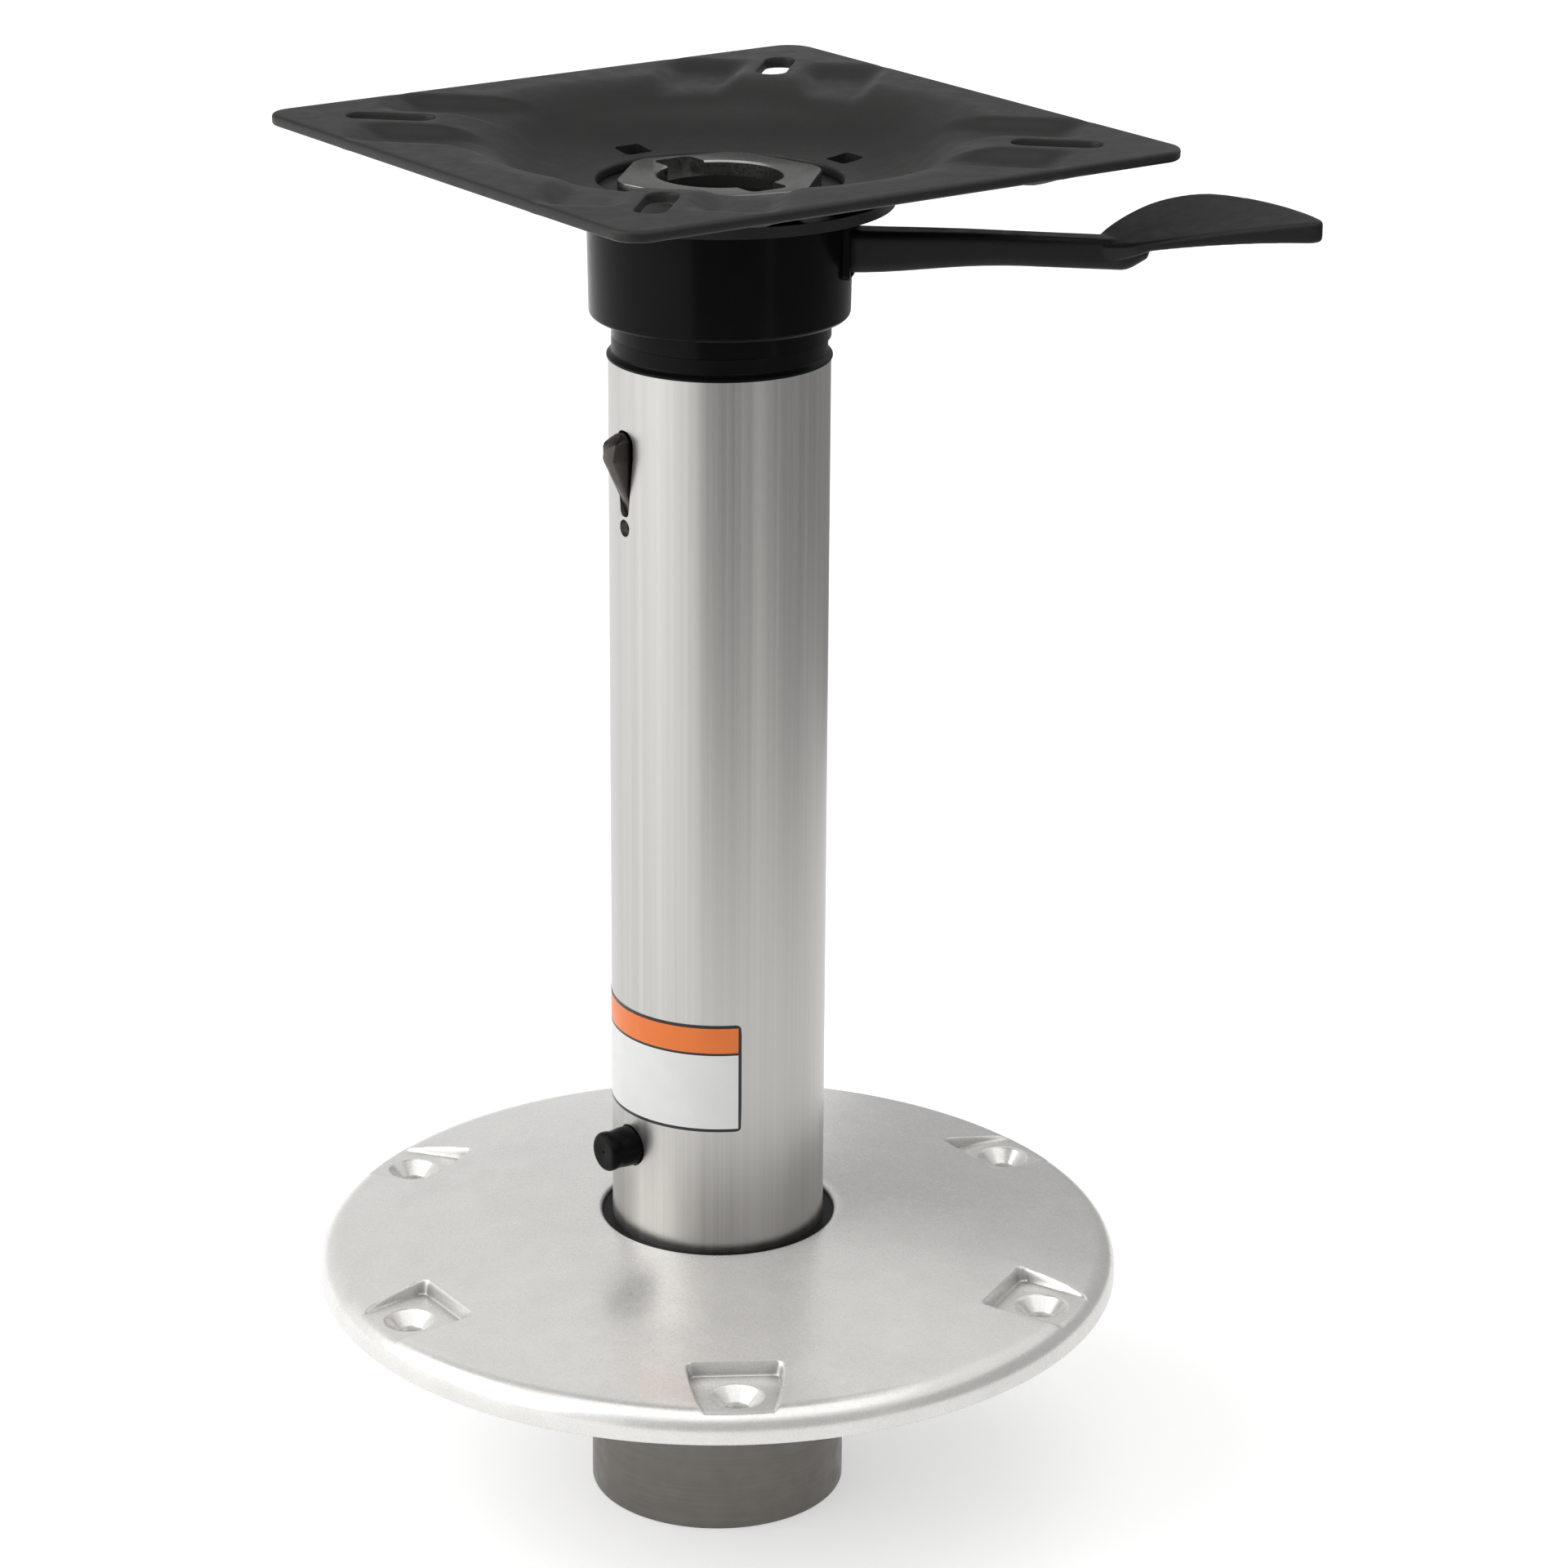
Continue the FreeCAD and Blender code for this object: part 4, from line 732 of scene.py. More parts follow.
def catch_outline(top, foot, half, foot_half, steps=12):
    """The catch's teardrop in across and up, wide and round at the top."""
    return rounded_path([(-foot_half, foot, foot_half * 0.9), (foot_half, foot, foot_half * 0.9),
                         (half, top - 7 * MM, 6 * MM), (half, top, half * 0.9),
                         (-half, top, half * 0.9), (-half, top - 7 * MM, 6 * MM)], steps)


def radial_prism(name, outline, reaches, turn=0.0, height=0.0):
    """A prism of an across-and-up outline that runs out of the post at an angle."""
    prism = stack_piece(name, [[(reach, x, z) for x, z in outline] for reach in reaches])
    move(prism, radial(turn, height))
    return prism


def make_post(sizes):
    """The tube with its button hole, tooth hole, catch slot and rivet hole."""
    outer = sizes.diameter / 2
    bore = outer - sizes.wall
    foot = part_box("post_tube")[0].z
    post = lathe("post", [(bore, foot, 0.3 * MM), (outer, foot, 0.4 * MM),
                          (outer, POST_TOP, 0.3 * MM), (bore, POST_TOP, 0)], 256, 3)
    through = (20 * MM, 40 * MM)
    button = circle(sizes.button_diameter / 2 + 0.35 * MM)
    slot = catch_outline(sizes.catch_height + 0.6 * MM, 228.6 * MM, 4.1 * MM, 1.9 * MM)
    carve(post, [
        radial_prism("button_hole", button, through, LATCH_TURN, sizes.button_height),
        radial_prism("tooth_hole", circle(4.35 * MM), through, LATCH_TURN, -24 * MM),
        radial_prism("catch_slot", slot, through, CATCH_TURN),
        radial_prism("rivet_hole", circle(2.4 * MM), through, CATCH_TURN, RIVET_HEIGHT),
    ])
    smooth(post)
    true_round(post, (outer, bore))
    return post


def make_sticker(sizes):
    """A blank sticker: a plain field and an upper band inside a thin border."""
    outer = sizes.diameter / 2
    film, sunk, border, line, corner = 0.12 * MM, 0.02 * MM, 0.9 * MM, 0.35 * MM, 1.6 * MM
    low, high = sizes.sticker_low, sizes.sticker_high
    band = high - (high - low) * 0.27
    levels = [low, low + border, band - line, band + line, high - border, high]
    rows = np.unique(np.concatenate([np.linspace(a, b, 5) for a, b in zip(levels, levels[1:])]).round(7))
    rim = border / outer
    right = sizes.sticker_turn
    left = right - sizes.sticker_width / outer
    turns = np.unique(np.concatenate([
        np.linspace(left, left + rim, 4), np.linspace(left + rim, right - rim, 90),
        np.linspace(right - rim, right, 4)]).round(7))
    points = []
    for reach in (outer + film, outer - sunk):
        for z in rows:
            tuck = max(corner - min(z - low, high - z), 0)
            cut = (corner - math.sqrt(max(corner * corner - tuck * tuck, 0))) / outer
            held = np.clip(turns, left + cut, right - cut)
            points += np.column_stack([reach * np.cos(held), reach * np.sin(held),
                                       np.full(len(held), z)]).tolist()
    front = np.arange(len(rows) * len(turns)).reshape(len(rows), len(turns))
    deep = front.size
    quads = np.stack([front[:-1, :-1], front[:-1, 1:], front[1:, 1:], front[1:, :-1]], -1).reshape(-1, 4)
    ring = np.concatenate([front[0], front[1:, -1], front[-1, -2::-1], front[-2:0:-1, 0]])
    ahead = np.roll(ring, -1)
    walls = np.stack([ring, ahead, ahead + deep, ring + deep], -1)
    z = ((rows[:-1] + rows[1:]) / 2)[:, None]
    turn = (turns[:-1] + turns[1:]) / 2
    edge = (np.minimum(z - low, high - z) < border) | (np.minimum(turn - left, right - turn) < rim)
    kinds = np.where(edge | (abs(z - band) < line), 2, np.where(z > band, 1, 0)).ravel().tolist()
    faces = np.concatenate([quads, (quads + deep)[:, ::-1], walls]).tolist()
    sticker = new_piece("sticker", points, faces, kinds * 2 + [2] * len(ring))
    for part in ("field", "band", "border"):
        sticker.data.materials.append(finish_of("sticker_" + part))
    smooth(sticker)
    return sticker


def make_button(sizes):
    """The snap button: a short plastic pin with a rounded end and a shallow waist."""
    radius = sizes.button_diameter / 2
    tip = sizes.diameter / 2 + sizes.button_reach
    root = tip - 18 * MM
    button = lathe("snap_button", [
        (0.4 * MM, root, 0), (radius, root, 0.3 * MM), (radius, tip - 6.5 * MM, 3 * MM),
        (radius - 0.25 * MM, tip - 3.8 * MM, 3 * MM), (radius, tip - 2.2 * MM, 2 * MM),
        (radius - 0.05 * MM, tip, 1.2 * MM), (radius - 2.2 * MM, tip - 0.1 * MM, 1 * MM),
        (0.4 * MM, tip - 0.35 * MM, 0)], 96)
    smooth(button, 50)
    move(button, radial(LATCH_TURN, sizes.button_height) @ Matrix.Rotation(math.pi / 2, 4, "Y"))
    return button


def make_catch(sizes):
    """The sprung catch: a teardrop leaf that swells out of its slot, on a tail under the rivet."""
    top = sizes.catch_height
    outer = sizes.diameter / 2
    half = 2.9 * MM

    def rise(spots):
        return ease(spots[:, 1], 228 * MM, 246 * MM)

    def crest(spots):
        over = ease(spots[:, 1], top - 3.4 * MM, top)
        crown = 0.4 * MM * (1 - (spots[:, 0] / half) ** 2)
        return outer - 1.9 * MM + 7.0 * MM * rise(spots) - 3.6 * MM * over + crown

    def back(spots):
        return outer - 5.9 * MM + 5.2 * MM * rise(spots)

    plan = catch_outline(top, 229.1 * MM, half, 1.6 * MM)
    leaf = pillow("catch_leaf", plan, crest, back, 0.45 * MM, 8, 4)
    move(leaf, OUT_OF_POST)
    side = np.array([(3.1, 222.4, 1.5), (3.1, 228, 1), (1.5, 230, 0.8), (1.5, 232, 0.5)]) * MM
    plan = rounded_path([*side, *(side * (-1, 1, 1))[::-1]], 6)
    tail = pillow("catch_tail", plan, lambda spots: np.full(len(spots), outer - 5.15 * MM),
                  lambda spots: np.full(len(spots), outer - 5.95 * MM), 0.25 * MM, 6, 3)
    move(tail, OUT_OF_POST)
    carve(leaf, [tail], "UNION")
    carve(leaf, [radial_prism("rivet_way", circle(1.6 * MM), (outer - 8 * MM, outer - 4.6 * MM),
                              0, RIVET_HEIGHT)])
    leaf.name = "mount_catch_leaf"
    move(leaf, radial(CATCH_TURN, 0))
    smooth(leaf, 40)
    return leaf


# Collar and housing

def make_collar():
    """The collar on top of the post: plug, thin lip, neck and the journal that the head turns on."""
    bore, plug, seat = 20 * MM, 27.75 * MM, 30.17 * MM
    lip, neck, journal = 30.6 * MM, 29.3 * MM, 23.5 * MM
    foot, shoulder, top = 212 * MM, 275.5 * MM, 291 * MM
    rest, brim = POST_TOP + 0.05 * MM, 269.6 * MM
    collar = lathe("head_collar", [
        (bore, foot, 0.4 * MM), (plug, foot, 0.8 * MM), (plug, rest, 0), (seat, rest, 0),
        (seat, brim, 0), (lip, brim, 0.2 * MM), (lip, brim + 0.7 * MM, 0.3 * MM),
        (neck, brim + 1.8 * MM, 1.1 * MM), (neck, shoulder, 0), (journal, shoulder, 0),
        (journal, top, 0.4 * MM), (bore, top, 0.4 * MM)], 256)
    room = rounded_path(np.array([(-4.4, 221.5, 1), (4.4, 221.5, 1), (4.4, 252.9, 4),
                                  (-4.4, 252.9, 4)]) * MM)
    carve(collar, [radial_prism("catch_room", room, (22.2 * MM, 29 * MM), CATCH_TURN)])
    smooth(collar)
    return collar


def gate_prism(name, wide, high, bend, height, steps):
    """A prism along X, drawn out across and up at each of its steps, all in millimetres."""
    outline = rounded_box(wide * MM, high * MM, bend * MM)
    prism = stack_piece(name, [[(reach * MM, y * across, z * up) for y, z in outline]
                               for reach, across, up in steps])
    move(prism, radial(0, height * MM))
    return prism


def make_housing():
    """The moulded head housing with its sleeve, lever gate and raised gate frame."""
    mouth, edge, top = 275.6 * MM, 281.3 * MM, HOUSING_TOP
    sleeve, skin, opening = 29.3 * MM, 0.4 * MM, 26 * MM
    housing = lathe("head_housing", [
        (sleeve - skin, mouth, 0), (sleeve, mouth, 0), (sleeve, edge, 0.6 * MM),
        (35.3 * MM, edge, 1.3 * MM), (35.8 * MM, top, 0.5 * MM), (opening, top, 0.4 * MM),
        (opening, top - 2.5 * MM, 0), (33.3 * MM, top - 2.5 * MM, 0.6 * MM),
        (32.9 * MM, edge + 1.8 * MM, 1.0 * MM), (sleeve - skin, edge + 1.8 * MM, 0)], 320)
    for spot in housing.data.vertices:
        reach = math.hypot(spot.co.x, spot.co.y)
        if reach < 30 * MM and spot.co.z < edge + 3 * MM:
            turn = abs(math.degrees(math.atan2(spot.co.y, spot.co.x)))
            swell = 1 + 0.9 * MM * (1 - float(ease(turn, 42, 62))) / reach
            spot.co.x *= swell
            spot.co.y *= swell
    block = gate_prism("gate_block", 17, 18.6, 1.6, 302.5,
                       ((33.6, 1, 1), (35.9, 1, 1), (36.3, 1, 1), (36.5, 0.97, 0.97)))
    carve(block, [upright("gate_lid", 60 * MM * np.array([(-1, -1), (1, -1), (1, 1), (-1, 1)]),
                          (top - 0.02 * MM, top + 20 * MM))])
    carve(housing, [block], "UNION")
    carve(housing, [gate_prism("gate_way", 13.5, 15.5, 1.2, 301.75,
                               ((26.5, 1, 1), (36.1, 1, 1), (36.6, 1.04, 1.03), (40, 1.04, 1.03)))])
    for turn in (60, 180, 300):
        x, y = 29.5 * MM * math.cos(math.radians(turn)), 29.5 * MM * math.sin(math.radians(turn))
        for name, radius, depth in (("screw_way", 3.75 * MM, 2 * MM), ("screw_bore", 2.2 * MM, 6 * MM)):
            carve(housing, [upright(name, circle(radius, 40), (top - depth, top + 1 * MM), x, y)])
    smooth(housing, 40)
    return housing


# Seat plate

def square_reach(turn, half, corner):
    """Distance from the centre to the edge of a rounded square whose corners lie on X and Y."""
    slant = (turn % (math.pi / 2)) - math.pi / 4
    x, y = np.cos(slant), np.abs(np.sin(slant))
    centre = half - corner
    straight = half / x
    along = (x + y) * centre
    bend = along + np.sqrt(np.maximum(along * along - 2 * centre * centre + corner * corner, 0))
    return np.where(straight * y > centre, bend, straight)


def plate_height(x, y, sizes):
    """Height of the stamped sheet's top over its lowest floor: bowl, rim and eight valleys."""
    reach = np.hypot(x, y)
    run = sizes.bowl_brim - sizes.bowl_floor
    depth = sizes.bowl_depth
    bend = (run * run + depth * depth) / (4 * depth)
    low = np.clip(reach - sizes.bowl_floor, 0, run / 2)
    high = np.clip(sizes.bowl_brim - reach, 0, run / 2)
    foot = bend - np.sqrt(bend * bend - low * low)
    brim = depth - (bend - np.sqrt(bend * bend - high * high))
    bowl = np.where(reach < sizes.bowl_floor + run / 2, foot, brim)
    share = np.zeros_like(bowl)
    half = sizes.valley_width / 2
    for way in range(4):
        ax, ay = math.cos(way * math.pi / 2), math.sin(way * math.pi / 2)
        along = x * ax + y * ay
        across = np.abs(y * ax - x * ay)
        side = np.abs(across - sizes.valley_offset)
        wide = 1 - ease(side, half - 5.2 * MM, half + 2.4 * MM)
        ends = (1 - ease(along, 85.5 * MM, 97.5 * MM)) * ease(along, 30 * MM, 40 * MM)
        share = np.maximum(share, wide * ends)
    over = bowl - (depth - sizes.valley_depth)
    sunk = (over + np.sqrt(over * over + (1.8 * MM) ** 2)) / 2
    return bowl - share * sunk


def make_seat_plate(sizes):
    """The stamped plate: rings from the opening to the square edge, over the top and back below."""
    half, corner, gauge = sizes.side / 2, sizes.corner, sizes.gauge
    top_floor = PLATE_TOP - sizes.bowl_depth
    share = np.linspace(-1, 1, sizes.columns // 4, endpoint=False)
    lean = math.pi / 4 * (0.45 * share + 0.55 * share ** 3)
    turn = np.concatenate([lean + way * math.pi / 2 for way in range(4)])
    cos, sin = np.cos(turn), np.sin(turn)
    edge = 0.9 * MM
    opening = sizes.opening + 0.5 * MM
    outside = square_reach(turn, half - edge, corner - edge)

    def sheet(reach, below):
        x, y = reach * cos, reach * sin
        z = top_floor + plate_height(x, y, sizes)
        if not below:
            return np.column_stack([x, y, z])
        step = 0.2 * MM
        dx = (plate_height(x + step, y, sizes) - plate_height(x - step, y, sizes)) / (2 * step)
        dy = (plate_height(x, y + step, sizes) - plate_height(x, y - step, sizes)) / (2 * step)
        long = np.sqrt(1 + dx * dx + dy * dy)
        return np.column_stack([x + dx / long * gauge, y + dy / long * gauge, z - gauge / long])

    shares = np.concatenate([np.linspace(0, 0.9, 84), np.linspace(0.93, 1, 4)])
    rows = [sheet(opening + (outside - opening) * part, False) for part in shares]
    bend = [(edge * (1 - math.sin(angle)), edge * (1 - math.cos(angle)))
            for angle in np.linspace(0, math.pi / 2, 6)]
    for inset, drop in bend[1:] + [(inset, gauge - drop) for inset, drop in bend[-2::-1]]:
        ring = sheet(square_reach(turn, half - inset, corner - inset), False)
        ring[:, 2] -= drop
        rows.append(ring)
    rows += [sheet(opening + (outside - opening) * part, True) for part in shares[::-2][1:]]
    for angle in np.linspace(0.2, math.pi - 0.2, 7):
        reach = opening - 0.5 * MM * math.sin(angle)
        height = top_floor - gauge / 2 * (1 + math.cos(angle))
        rows.append(np.column_stack([reach * cos, reach * sin, np.full(len(turn), height)]))
    plate = grid_piece("seat_plate_stamping", np.array(rows), True)
    # Height over the plate's top and how far the slot has opened there
    flares = np.array([(-4, 0.3), (-gauge / MM, 0.3), (-gauge / MM + 0.3, 0), (-0.6, 0),
                       (-0.15, 0.15), (0.02, 0.5), (3, 1.2)]) * MM
    slot_reach = 179.605 * MM / 2
    cutters = []
    for way in range(4):
        quarter = Matrix.Rotation(way * math.pi / 2, 4, "Z")
        slot = stack_piece("bolt_slot", [
            [(x + slot_reach, y, PLATE_TOP + height)
             for x, y in stadium(sizes.slot_length + 2 * flare, sizes.slot_width + 2 * flare)]
            for height, flare in flares])
        move(slot, quarter)
        window = upright("bowl_window", rounded_box(7.4 * MM, 8.3 * MM, 1.2 * MM),
                         (PLATE_FLOOR - 5 * MM, PLATE_TOP + 5 * MM), 41.2 * MM)
        move(window, quarter @ Matrix.Rotation(math.pi / 4, 4, "Z"))
        cutters += [slot, window]
    carve(plate, cutters)
    smooth(plate, 38)
    return plate


def make_hub():
    """The six-sided hub plate with a round opening and two spanner notches."""
    low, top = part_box("hub_plate")[0].z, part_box("hub_plate")[1].z - 0.9 * MM
    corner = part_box("hub_plate")[1].x / math.cos(math.radians(30))
    turns = [math.radians(60 * place) for place in range(6)]
    plan = rounded_path([(corner * math.sin(turn), corner * math.cos(turn), 9 * MM)
                         for turn in turns], 10)
    edge = 0.5 * MM
    hub = stack_piece("hub", [
        [(x * share, y * share, height) for x, y in plan]
        for share, height in ((0.985, low), (1.0, low + edge), (1.0, top - edge),
                              (0.994, top - edge * 0.3), (0.98, top))])
    bore = 17 * MM
    cutters = [plug("hub_bore", ((bore, low - 1 * MM), (bore, top - edge),
                                 (bore + 0.8 * MM, top + 0.3 * MM)), 96)]
    for turn in (135, -45):
        notch = upright("spanner_notch", rounded_box(13 * MM, 12 * MM, 2.5 * MM),
                        (low - 1 * MM, top + 1 * MM), bore)
        move(notch, Matrix.Rotation(math.radians(turn), 4, "Z"))
        cutters.append(notch)
    carve(hub, cutters)
    smooth(hub, 30)
    return hub


# Lever

def make_handle(sizes):
    """A tapered stem, a step up and a leaf-shaped paddle, moulded as one."""
    start, waist, end = 34.5 * MM, 70 * MM, 109 * MM
    tip = end + sizes.paddle_length
    stem_top, end_wide, end_high = 306.0 * MM, 10 * MM, 8.6 * MM
    sections = []
    for x in np.linspace(start, 115 * MM, 60):
        share = (x - start) / (end - start)
        settled = ease(x, start, waist + 12 * MM)
        wide = sizes.stem_width + (end_wide - sizes.stem_width) * settled
        high = sizes.stem_height + (end_high - sizes.stem_height) * settled - 0.3 * MM * share
        high -= 5.2 * MM * ease(x, end - 1 * MM, 119 * MM)
        top = stem_top + 0.6 * MM * ease(x, start, waist)
        bend = min(2.6 * MM, high * 0.42)
        sections.append([(x, y, z + top - high / 2) for y, z in rounded_box(wide, high, bend)])
    stem = stack_piece("lever_stem", sections)
    near, far = -sizes.paddle_near, sizes.paddle_far
    outline = []
    # Corners of the paddle with the radius of the arc that leads to each
    marks = [(101 * MM, -4.4 * MM, 0), (end + 3 * MM, near, 0), (tip - 2.4 * MM, near, 0),
             (tip, near + 2.4 * MM, 2.4 * MM), (131 * MM, far, 103 * MM),
             (end + 3.5 * MM, far - 0.5 * MM, 18.5 * MM), (101 * MM, 4.4 * MM, 38 * MM)]
    for place, (x, y, radius) in enumerate(marks):
        before = np.array(marks[place - 1][:2])
        here = np.array([x, y])
        chord = here - before
        long = float(np.linalg.norm(chord))
        count = max(int(long / (1.1 * MM)), 3)
        for share in np.arange(1, count + 1) / count:
            spot = before + chord * share
            if radius:
                rise = math.sqrt(radius * radius - (long * (share - 0.5)) ** 2)
                rise -= math.sqrt(radius * radius - long * long / 4)
                spot = spot + np.array([chord[1], -chord[0]]) / long * rise
            outline.append(spot)
    outline = np.array(outline)
    for _ in range(3):
        outline = (np.roll(outline, 1, 0) + outline * 2 + np.roll(outline, -1, 0)) / 4

    def top(spots):
        share = np.clip((spots[:, 0] - 113 * MM) / (tip - 113 * MM), -0.3, 1)
        return 306.9 * MM + 8.3 * MM * share + 0.48 * MM * 4 * share * (1 - share)

    def under(spots):
        share = np.clip((spots[:, 0] - 116 * MM) / (tip - 116 * MM), -0.2, 1)
        ramp = np.clip((116 * MM - spots[:, 0]) / (7 * MM), 0, 1.3)
        belly = 0.83 * MM * 4 * share * (1 - share) * (share > 0)
        return 304.8 * MM + 4.2 * MM * share + belly - 2.4 * MM * ramp

    paddle = pillow("lever_paddle", outline, top, under, sizes.paddle_edge, 14, 5)
    hinge = Vector((0, near, 306.6 * MM))
    move(paddle, Matrix.Translation(hinge) @ Matrix.Rotation(sizes.paddle_tilt, 4, "X")
         @ Matrix.Translation(-hinge))
    carve(stem, [paddle], "UNION")
    skin = stem.modifiers.new("skin", "REMESH")
    skin.mode = "VOXEL"
    skin.voxel_size = 0.42 * MM
    soften = stem.modifiers.new("soften", "SMOOTH")
    soften.factor = 0.5
    soften.iterations = 9
    bake(stem)
    stem.name = "lever_moulding"
    stem.data.shade_smooth()
    return stem


# Stage

# Name, place and target each as right, near and up, then width, height and level
CARDS = (
    ("front_card", (0.1, 0.62, 0.1), (0, 0, 0.1), 0.8, 0.6, 0.34),
    ("right_card", (0.62, 0.1, 0.1), (0, 0, 0.1), 0.9, 0.6, 0.34),
    ("side_card", (0.42, -0.5, 0.1), (0, 0, 0.1), 0.9, 0.6, 0.34),
    ("back_card", (-0.18, -0.2, 0.6), (-0.18, 0, 0.6), 0.66, 0.5, 0.36),
    ("far_card", (0, -1.3, 0.7), (0, 0, 0.7), 3.4, 1.1, 0.75),
)


def beside(stage, right, near, up):
    """A point set out from the post as the camera sees it: to the right, nearer to it, and up."""
    turn = Matrix.Rotation(stage.camera_turn, 4, "Z")
    return turn @ Vector((right, -near, up))


def aim(item, target):
    """Points a lamp or a card at the target."""
    way = Vector(target) - item.location
    item.rotation_mode = "QUATERNION"
    item.rotation_quaternion = way.to_track_quat("-Z", "Y")


def background_light(tree, shaded, seen):
    """A strength for what other rays meet, and another for the camera, mirrors and glass."""
    paths = tree.nodes.new("ShaderNodeLightPath").outputs
    mirror = reckon(tree, "MAXIMUM", paths["Is Camera Ray"], paths["Is Glossy Ray"])
    glass = reckon(tree, "MAXIMUM", mirror, paths["Is Transmission Ray"])
    return map_range(tree, glass, shaded, seen)


def make_camera(stage):
    """A camera at the picture's viewpoint."""
    data = bpy.data.cameras.new("picture_camera")
    data.sensor_width = 36
    data.lens = stage.lens
    data.clip_start, data.clip_end = 0.05, 60
    camera = add_object("picture_camera", data)
    heading = stage.camera_turn - stage.camera_yaw
    camera.matrix_world = (
        Matrix.Translation(beside(stage, 0, stage.camera_distance, stage.camera_height))
        @ Matrix.Rotation(heading, 4, "Z")
        @ Matrix.Rotation(math.pi / 2 - stage.camera_pitch, 4, "X")
        @ Matrix.Rotation(stage.camera_roll, 4, "Z"))
    bpy.context.scene.camera = camera


def make_lamp(name, place, target, size, watts):
    """A soft square lamp."""
    data = bpy.data.lights.new(name, "AREA")
    data.shape = "SQUARE"
    data.size = size
    data.energy = watts
    lamp = add_object(name, data)
    lamp.location = place
    aim(lamp, target)


def flat_sheet(name, paint, wide, high, level=0.0):
    """A flat rectangle about the Z axis with a new material. Gives its object and the node tree."""
    mesh = bpy.data.meshes.new(name)
    corners = ((-1, -1), (1, -1), (1, 1), (-1, 1))
    mesh.from_pydata([(x * wide / 2, y * high / 2, level) for x, y in corners], [], [(0, 1, 2, 3)])
    material = bpy.data.materials.new(paint)
    material.use_nodes = True
    material.node_tree.nodes.clear()
    mesh.materials.append(material)
    return add_object(name, mesh), material.node_tree


def make_card(name, place, target, wide, high, level):
    """A grey card that only reflections see, as a studio uses to shape shine on metal."""
    card, tree = flat_sheet(name, name, wide, high)
    card.location = place
    aim(card, target)
    glow = tree.nodes.new("ShaderNodeEmission")
    fill(glow, {"Color": (level, level, level, 1)})
    tree.links.new(glow.outputs[0], tree.nodes.new("ShaderNodeOutputMaterial").inputs["Surface"])
    card.visible_camera = False
    card.visible_diffuse = False
    card.visible_shadow = False
    card.visible_transmission = False


def make_floor(stage):
    """A wide pale floor at the foot of the socket, whose glow hides its edge from the camera."""
    floor, tree = flat_sheet("floor", "floor_paper", 18, 18, DECK_FOOT)
    matt = tree.nodes.new("ShaderNodeBsdfDiffuse")
    fill(matt, {"Color": (*stage.floor_colour, 1)})
    away = tree.nodes.new("ShaderNodeVectorMath")
    away.operation = "LENGTH"
    tree.links.new(tree.nodes.new("ShaderNodeTexCoord").outputs["Object"], away.inputs[0])
    far = map_range(tree, away.outputs["Value"], 1.0, 1.5, 0.7, 2.0)
    glow = tree.nodes.new("ShaderNodeEmission")
    strength = reckon(tree, "MULTIPLY", background_light(tree, 0.0, 0.4), far)
    tree.links.new(strength, glow.inputs["Strength"])
    both = tree.nodes.new("ShaderNodeAddShader")
    tree.links.new(matt.outputs[0], both.inputs[0])
    tree.links.new(glow.outputs[0], both.inputs[1])
    tree.links.new(both.outputs[0], tree.nodes.new("ShaderNodeOutputMaterial").inputs["Surface"])


def make_sky(stage):
    """Even light all round, and a white background."""
    world = bpy.data.worlds.new("studio")
    world.use_nodes = True
    tree = world.node_tree
    sky = tree.nodes["Background"]
    fill(sky, {"Color": (1, 1, 1, 1)})
    tree.links.new(background_light(tree, stage.sky_strength, 1.0), sky.inputs["Strength"])
    bpy.context.scene.world = world
    bpy.context.scene.view_settings.view_transform = "Standard"


# Operators

class DeckPlateOperator(Operator):
    """Builds the deck plate and the socket below it"""

    bl_idname = "pedestal.deck_plate"
    bl_label = "Deck plate and socket"

    def execute(self, context):
        plate = make_deck_plate(context.scene.deck_sizes)
        settle(plate, "base", "cast_aluminium", "base_flange")
        settle(make_socket(), "base", "socket_aluminium", "base_socket")
        return {"FINISHED"}


class PostOperator(Operator):
    """Builds the post and the blank sticker on it"""

    bl_idname = "pedestal.post"
    bl_label = "Post and sticker"

    def execute(self, context):
        sizes = context.scene.post_sizes
        settle(make_post(sizes), "post", "post_aluminium", "post_tube")
        settle(make_sticker(sizes), "post", "post_aluminium")
        return {"FINISHED"}


class LatchOperator(Operator):
    """Builds the snap button and the sprung catch"""

    bl_idname = "pedestal.latches"
    bl_label = "Button and catch"

    def execute(self, context):
        sizes = context.scene.post_sizes
        settle(make_button(sizes), "button", "button_plastic", "lock_button")
        settle(make_catch(sizes), "catch", "spring_steel", "mount_catch")
        return {"FINISHED"}


class HousingOperator(Operator):
    """Builds the collar on the post and the head housing"""

    bl_idname = "pedestal.housing"
    bl_label = "Collar and head housing"

    def execute(self, context):
        settle(make_collar(), "post", "bush_plastic", "top_bushing")
        settle(make_housing(), "head", "housing_plastic", "swivel_housing")
        return {"FINISHED"}


class SeatPlateOperator(Operator):
    """Builds the stamped seat plate and the hub in its bowl"""

    bl_idname = "pedestal.seat_plate"
    bl_label = "Seat plate and hub"

    def execute(self, context):
        settle(make_hub(), "head", "bright_steel", "hub_plate")
        settle(make_seat_plate(context.scene.plate_sizes), "head", "black_paint", "seat_plate")
        return {"FINISHED"}


class LeverOperator(Operator):
    """Builds the lever's handle"""

    bl_idname = "pedestal.lever"
    bl_label = "Lever handle"

    def execute(self, context):
        settle(make_handle(context.scene.lever_sizes), "lever", "handle_plastic", "lever_handle")
        return {"FINISHED"}


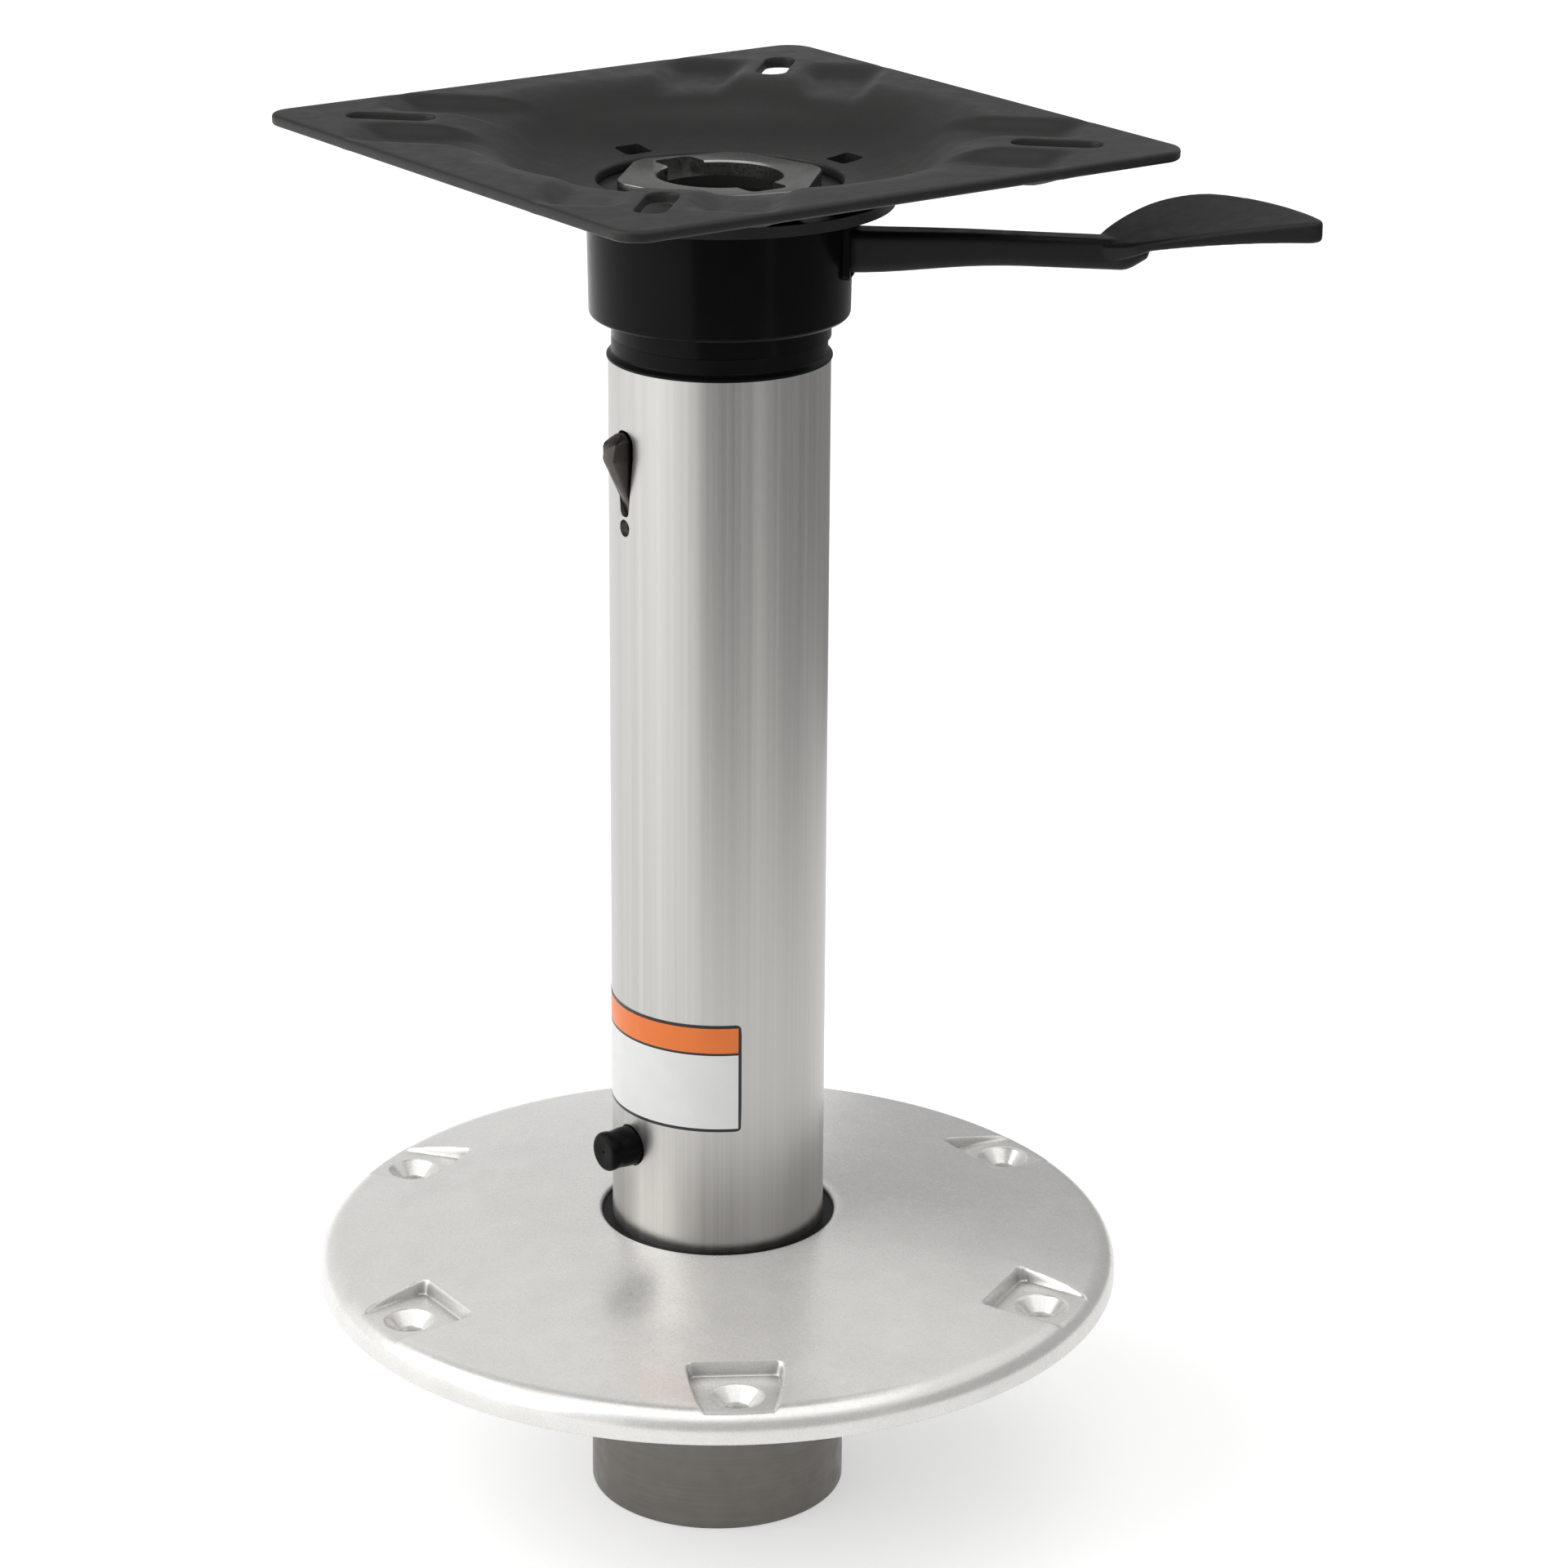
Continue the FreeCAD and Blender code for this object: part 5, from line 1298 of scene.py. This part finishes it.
class FittingsOperator(Operator):
    """Gives every part that stays as CAD its finish"""

    bl_idname = "pedestal.fittings"
    bl_label = "Finishes of the CAD parts"

    def execute(self, context):
        for row in frame["record"]["subparts"]:
            node = frame["nodes"][row["node"]]
            node.data.materials.clear()
            node.data.materials.append(finish_of(row["material_slot"]))
        return {"FINISHED"}


class StageOperator(Operator):
    """Sets up the camera, the lamps, the cards and the floor"""

    bl_idname = "pedestal.stage"
    bl_label = "Stage"

    def execute(self, context):
        stage = context.scene.stage_settings
        make_camera(stage)
        make_floor(stage)
        make_sky(stage)
        middle = (0, 0, 0.13)
        make_lamp("key_lamp", beside(stage, -1.7, 0.5, 1.2), middle, 2.2, stage.key_power)
        make_lamp("fill_lamp", beside(stage, 0.2, 0.5, 2.2), middle, 2.4, stage.fill_power)
        for name, place, target, wide, high, level in CARDS:
            make_card(name, beside(stage, *place), beside(stage, *target), wide, high, level)
        return {"FINISHED"}


class PedestalPanel(Panel):
    """The pedestal's pieces, sizes and colours in the sidebar."""

    bl_idname = "VIEW3D_PT_pedestal"
    bl_label = "Boat Seat Pedestal"
    bl_space_type = "VIEW_3D"
    bl_region_type = "UI"
    bl_category = "Pedestal"

    def draw(self, context):
        for heading, operators, group in PANEL_ROWS:
            box = self.layout.box()
            box.label(text=heading)
            for operator in operators:
                box.operator(operator.bl_idname)
            settings = getattr(context.scene, group)
            for name in settings.__annotations__:
                box.prop(settings, name, text=name.replace("_", " ").capitalize())


PANEL_ROWS = (
    ("Deck plate", (DeckPlateOperator,), "deck_sizes"),
    ("Post", (PostOperator, LatchOperator), "post_sizes"),
    ("Head", (HousingOperator, SeatPlateOperator), "plate_sizes"),
    ("Lever", (LeverOperator,), "lever_sizes"),
    ("Finishes", (FittingsOperator,), "finish_colours"),
    ("Stage", (StageOperator,), "stage_settings"),
)

GROUPS = {
    "deck_sizes": DeckPlateSizes,
    "post_sizes": PostSizes,
    "plate_sizes": SeatPlateSizes,
    "lever_sizes": LeverSizes,
    "finish_colours": FinishColours,
    "stage_settings": StageSettings,
}

CLASSES = (*GROUPS.values(), DeckPlateOperator, PostOperator, LatchOperator, HousingOperator,
           SeatPlateOperator, LeverOperator, FittingsOperator, StageOperator, PedestalPanel)


def register():
    for item in CLASSES:
        bpy.utils.register_class(item)
    for name, group in GROUPS.items():
        setattr(bpy.types.Scene, name, PointerProperty(type=group))


def unregister():
    for name in GROUPS:
        delattr(bpy.types.Scene, name)
    for item in reversed(CLASSES):
        bpy.utils.unregister_class(item)


def main():
    """Builds everything in order."""
    register()
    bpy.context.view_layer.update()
    bpy.ops.pedestal.deck_plate()
    bpy.ops.pedestal.post()
    bpy.ops.pedestal.latches()
    bpy.ops.pedestal.housing()
    bpy.ops.pedestal.seat_plate()
    bpy.ops.pedestal.lever()
    bpy.ops.pedestal.fittings()
    bpy.ops.pedestal.stage()
    bpy.context.view_layer.update()


if __name__ == "__main__":
    main()
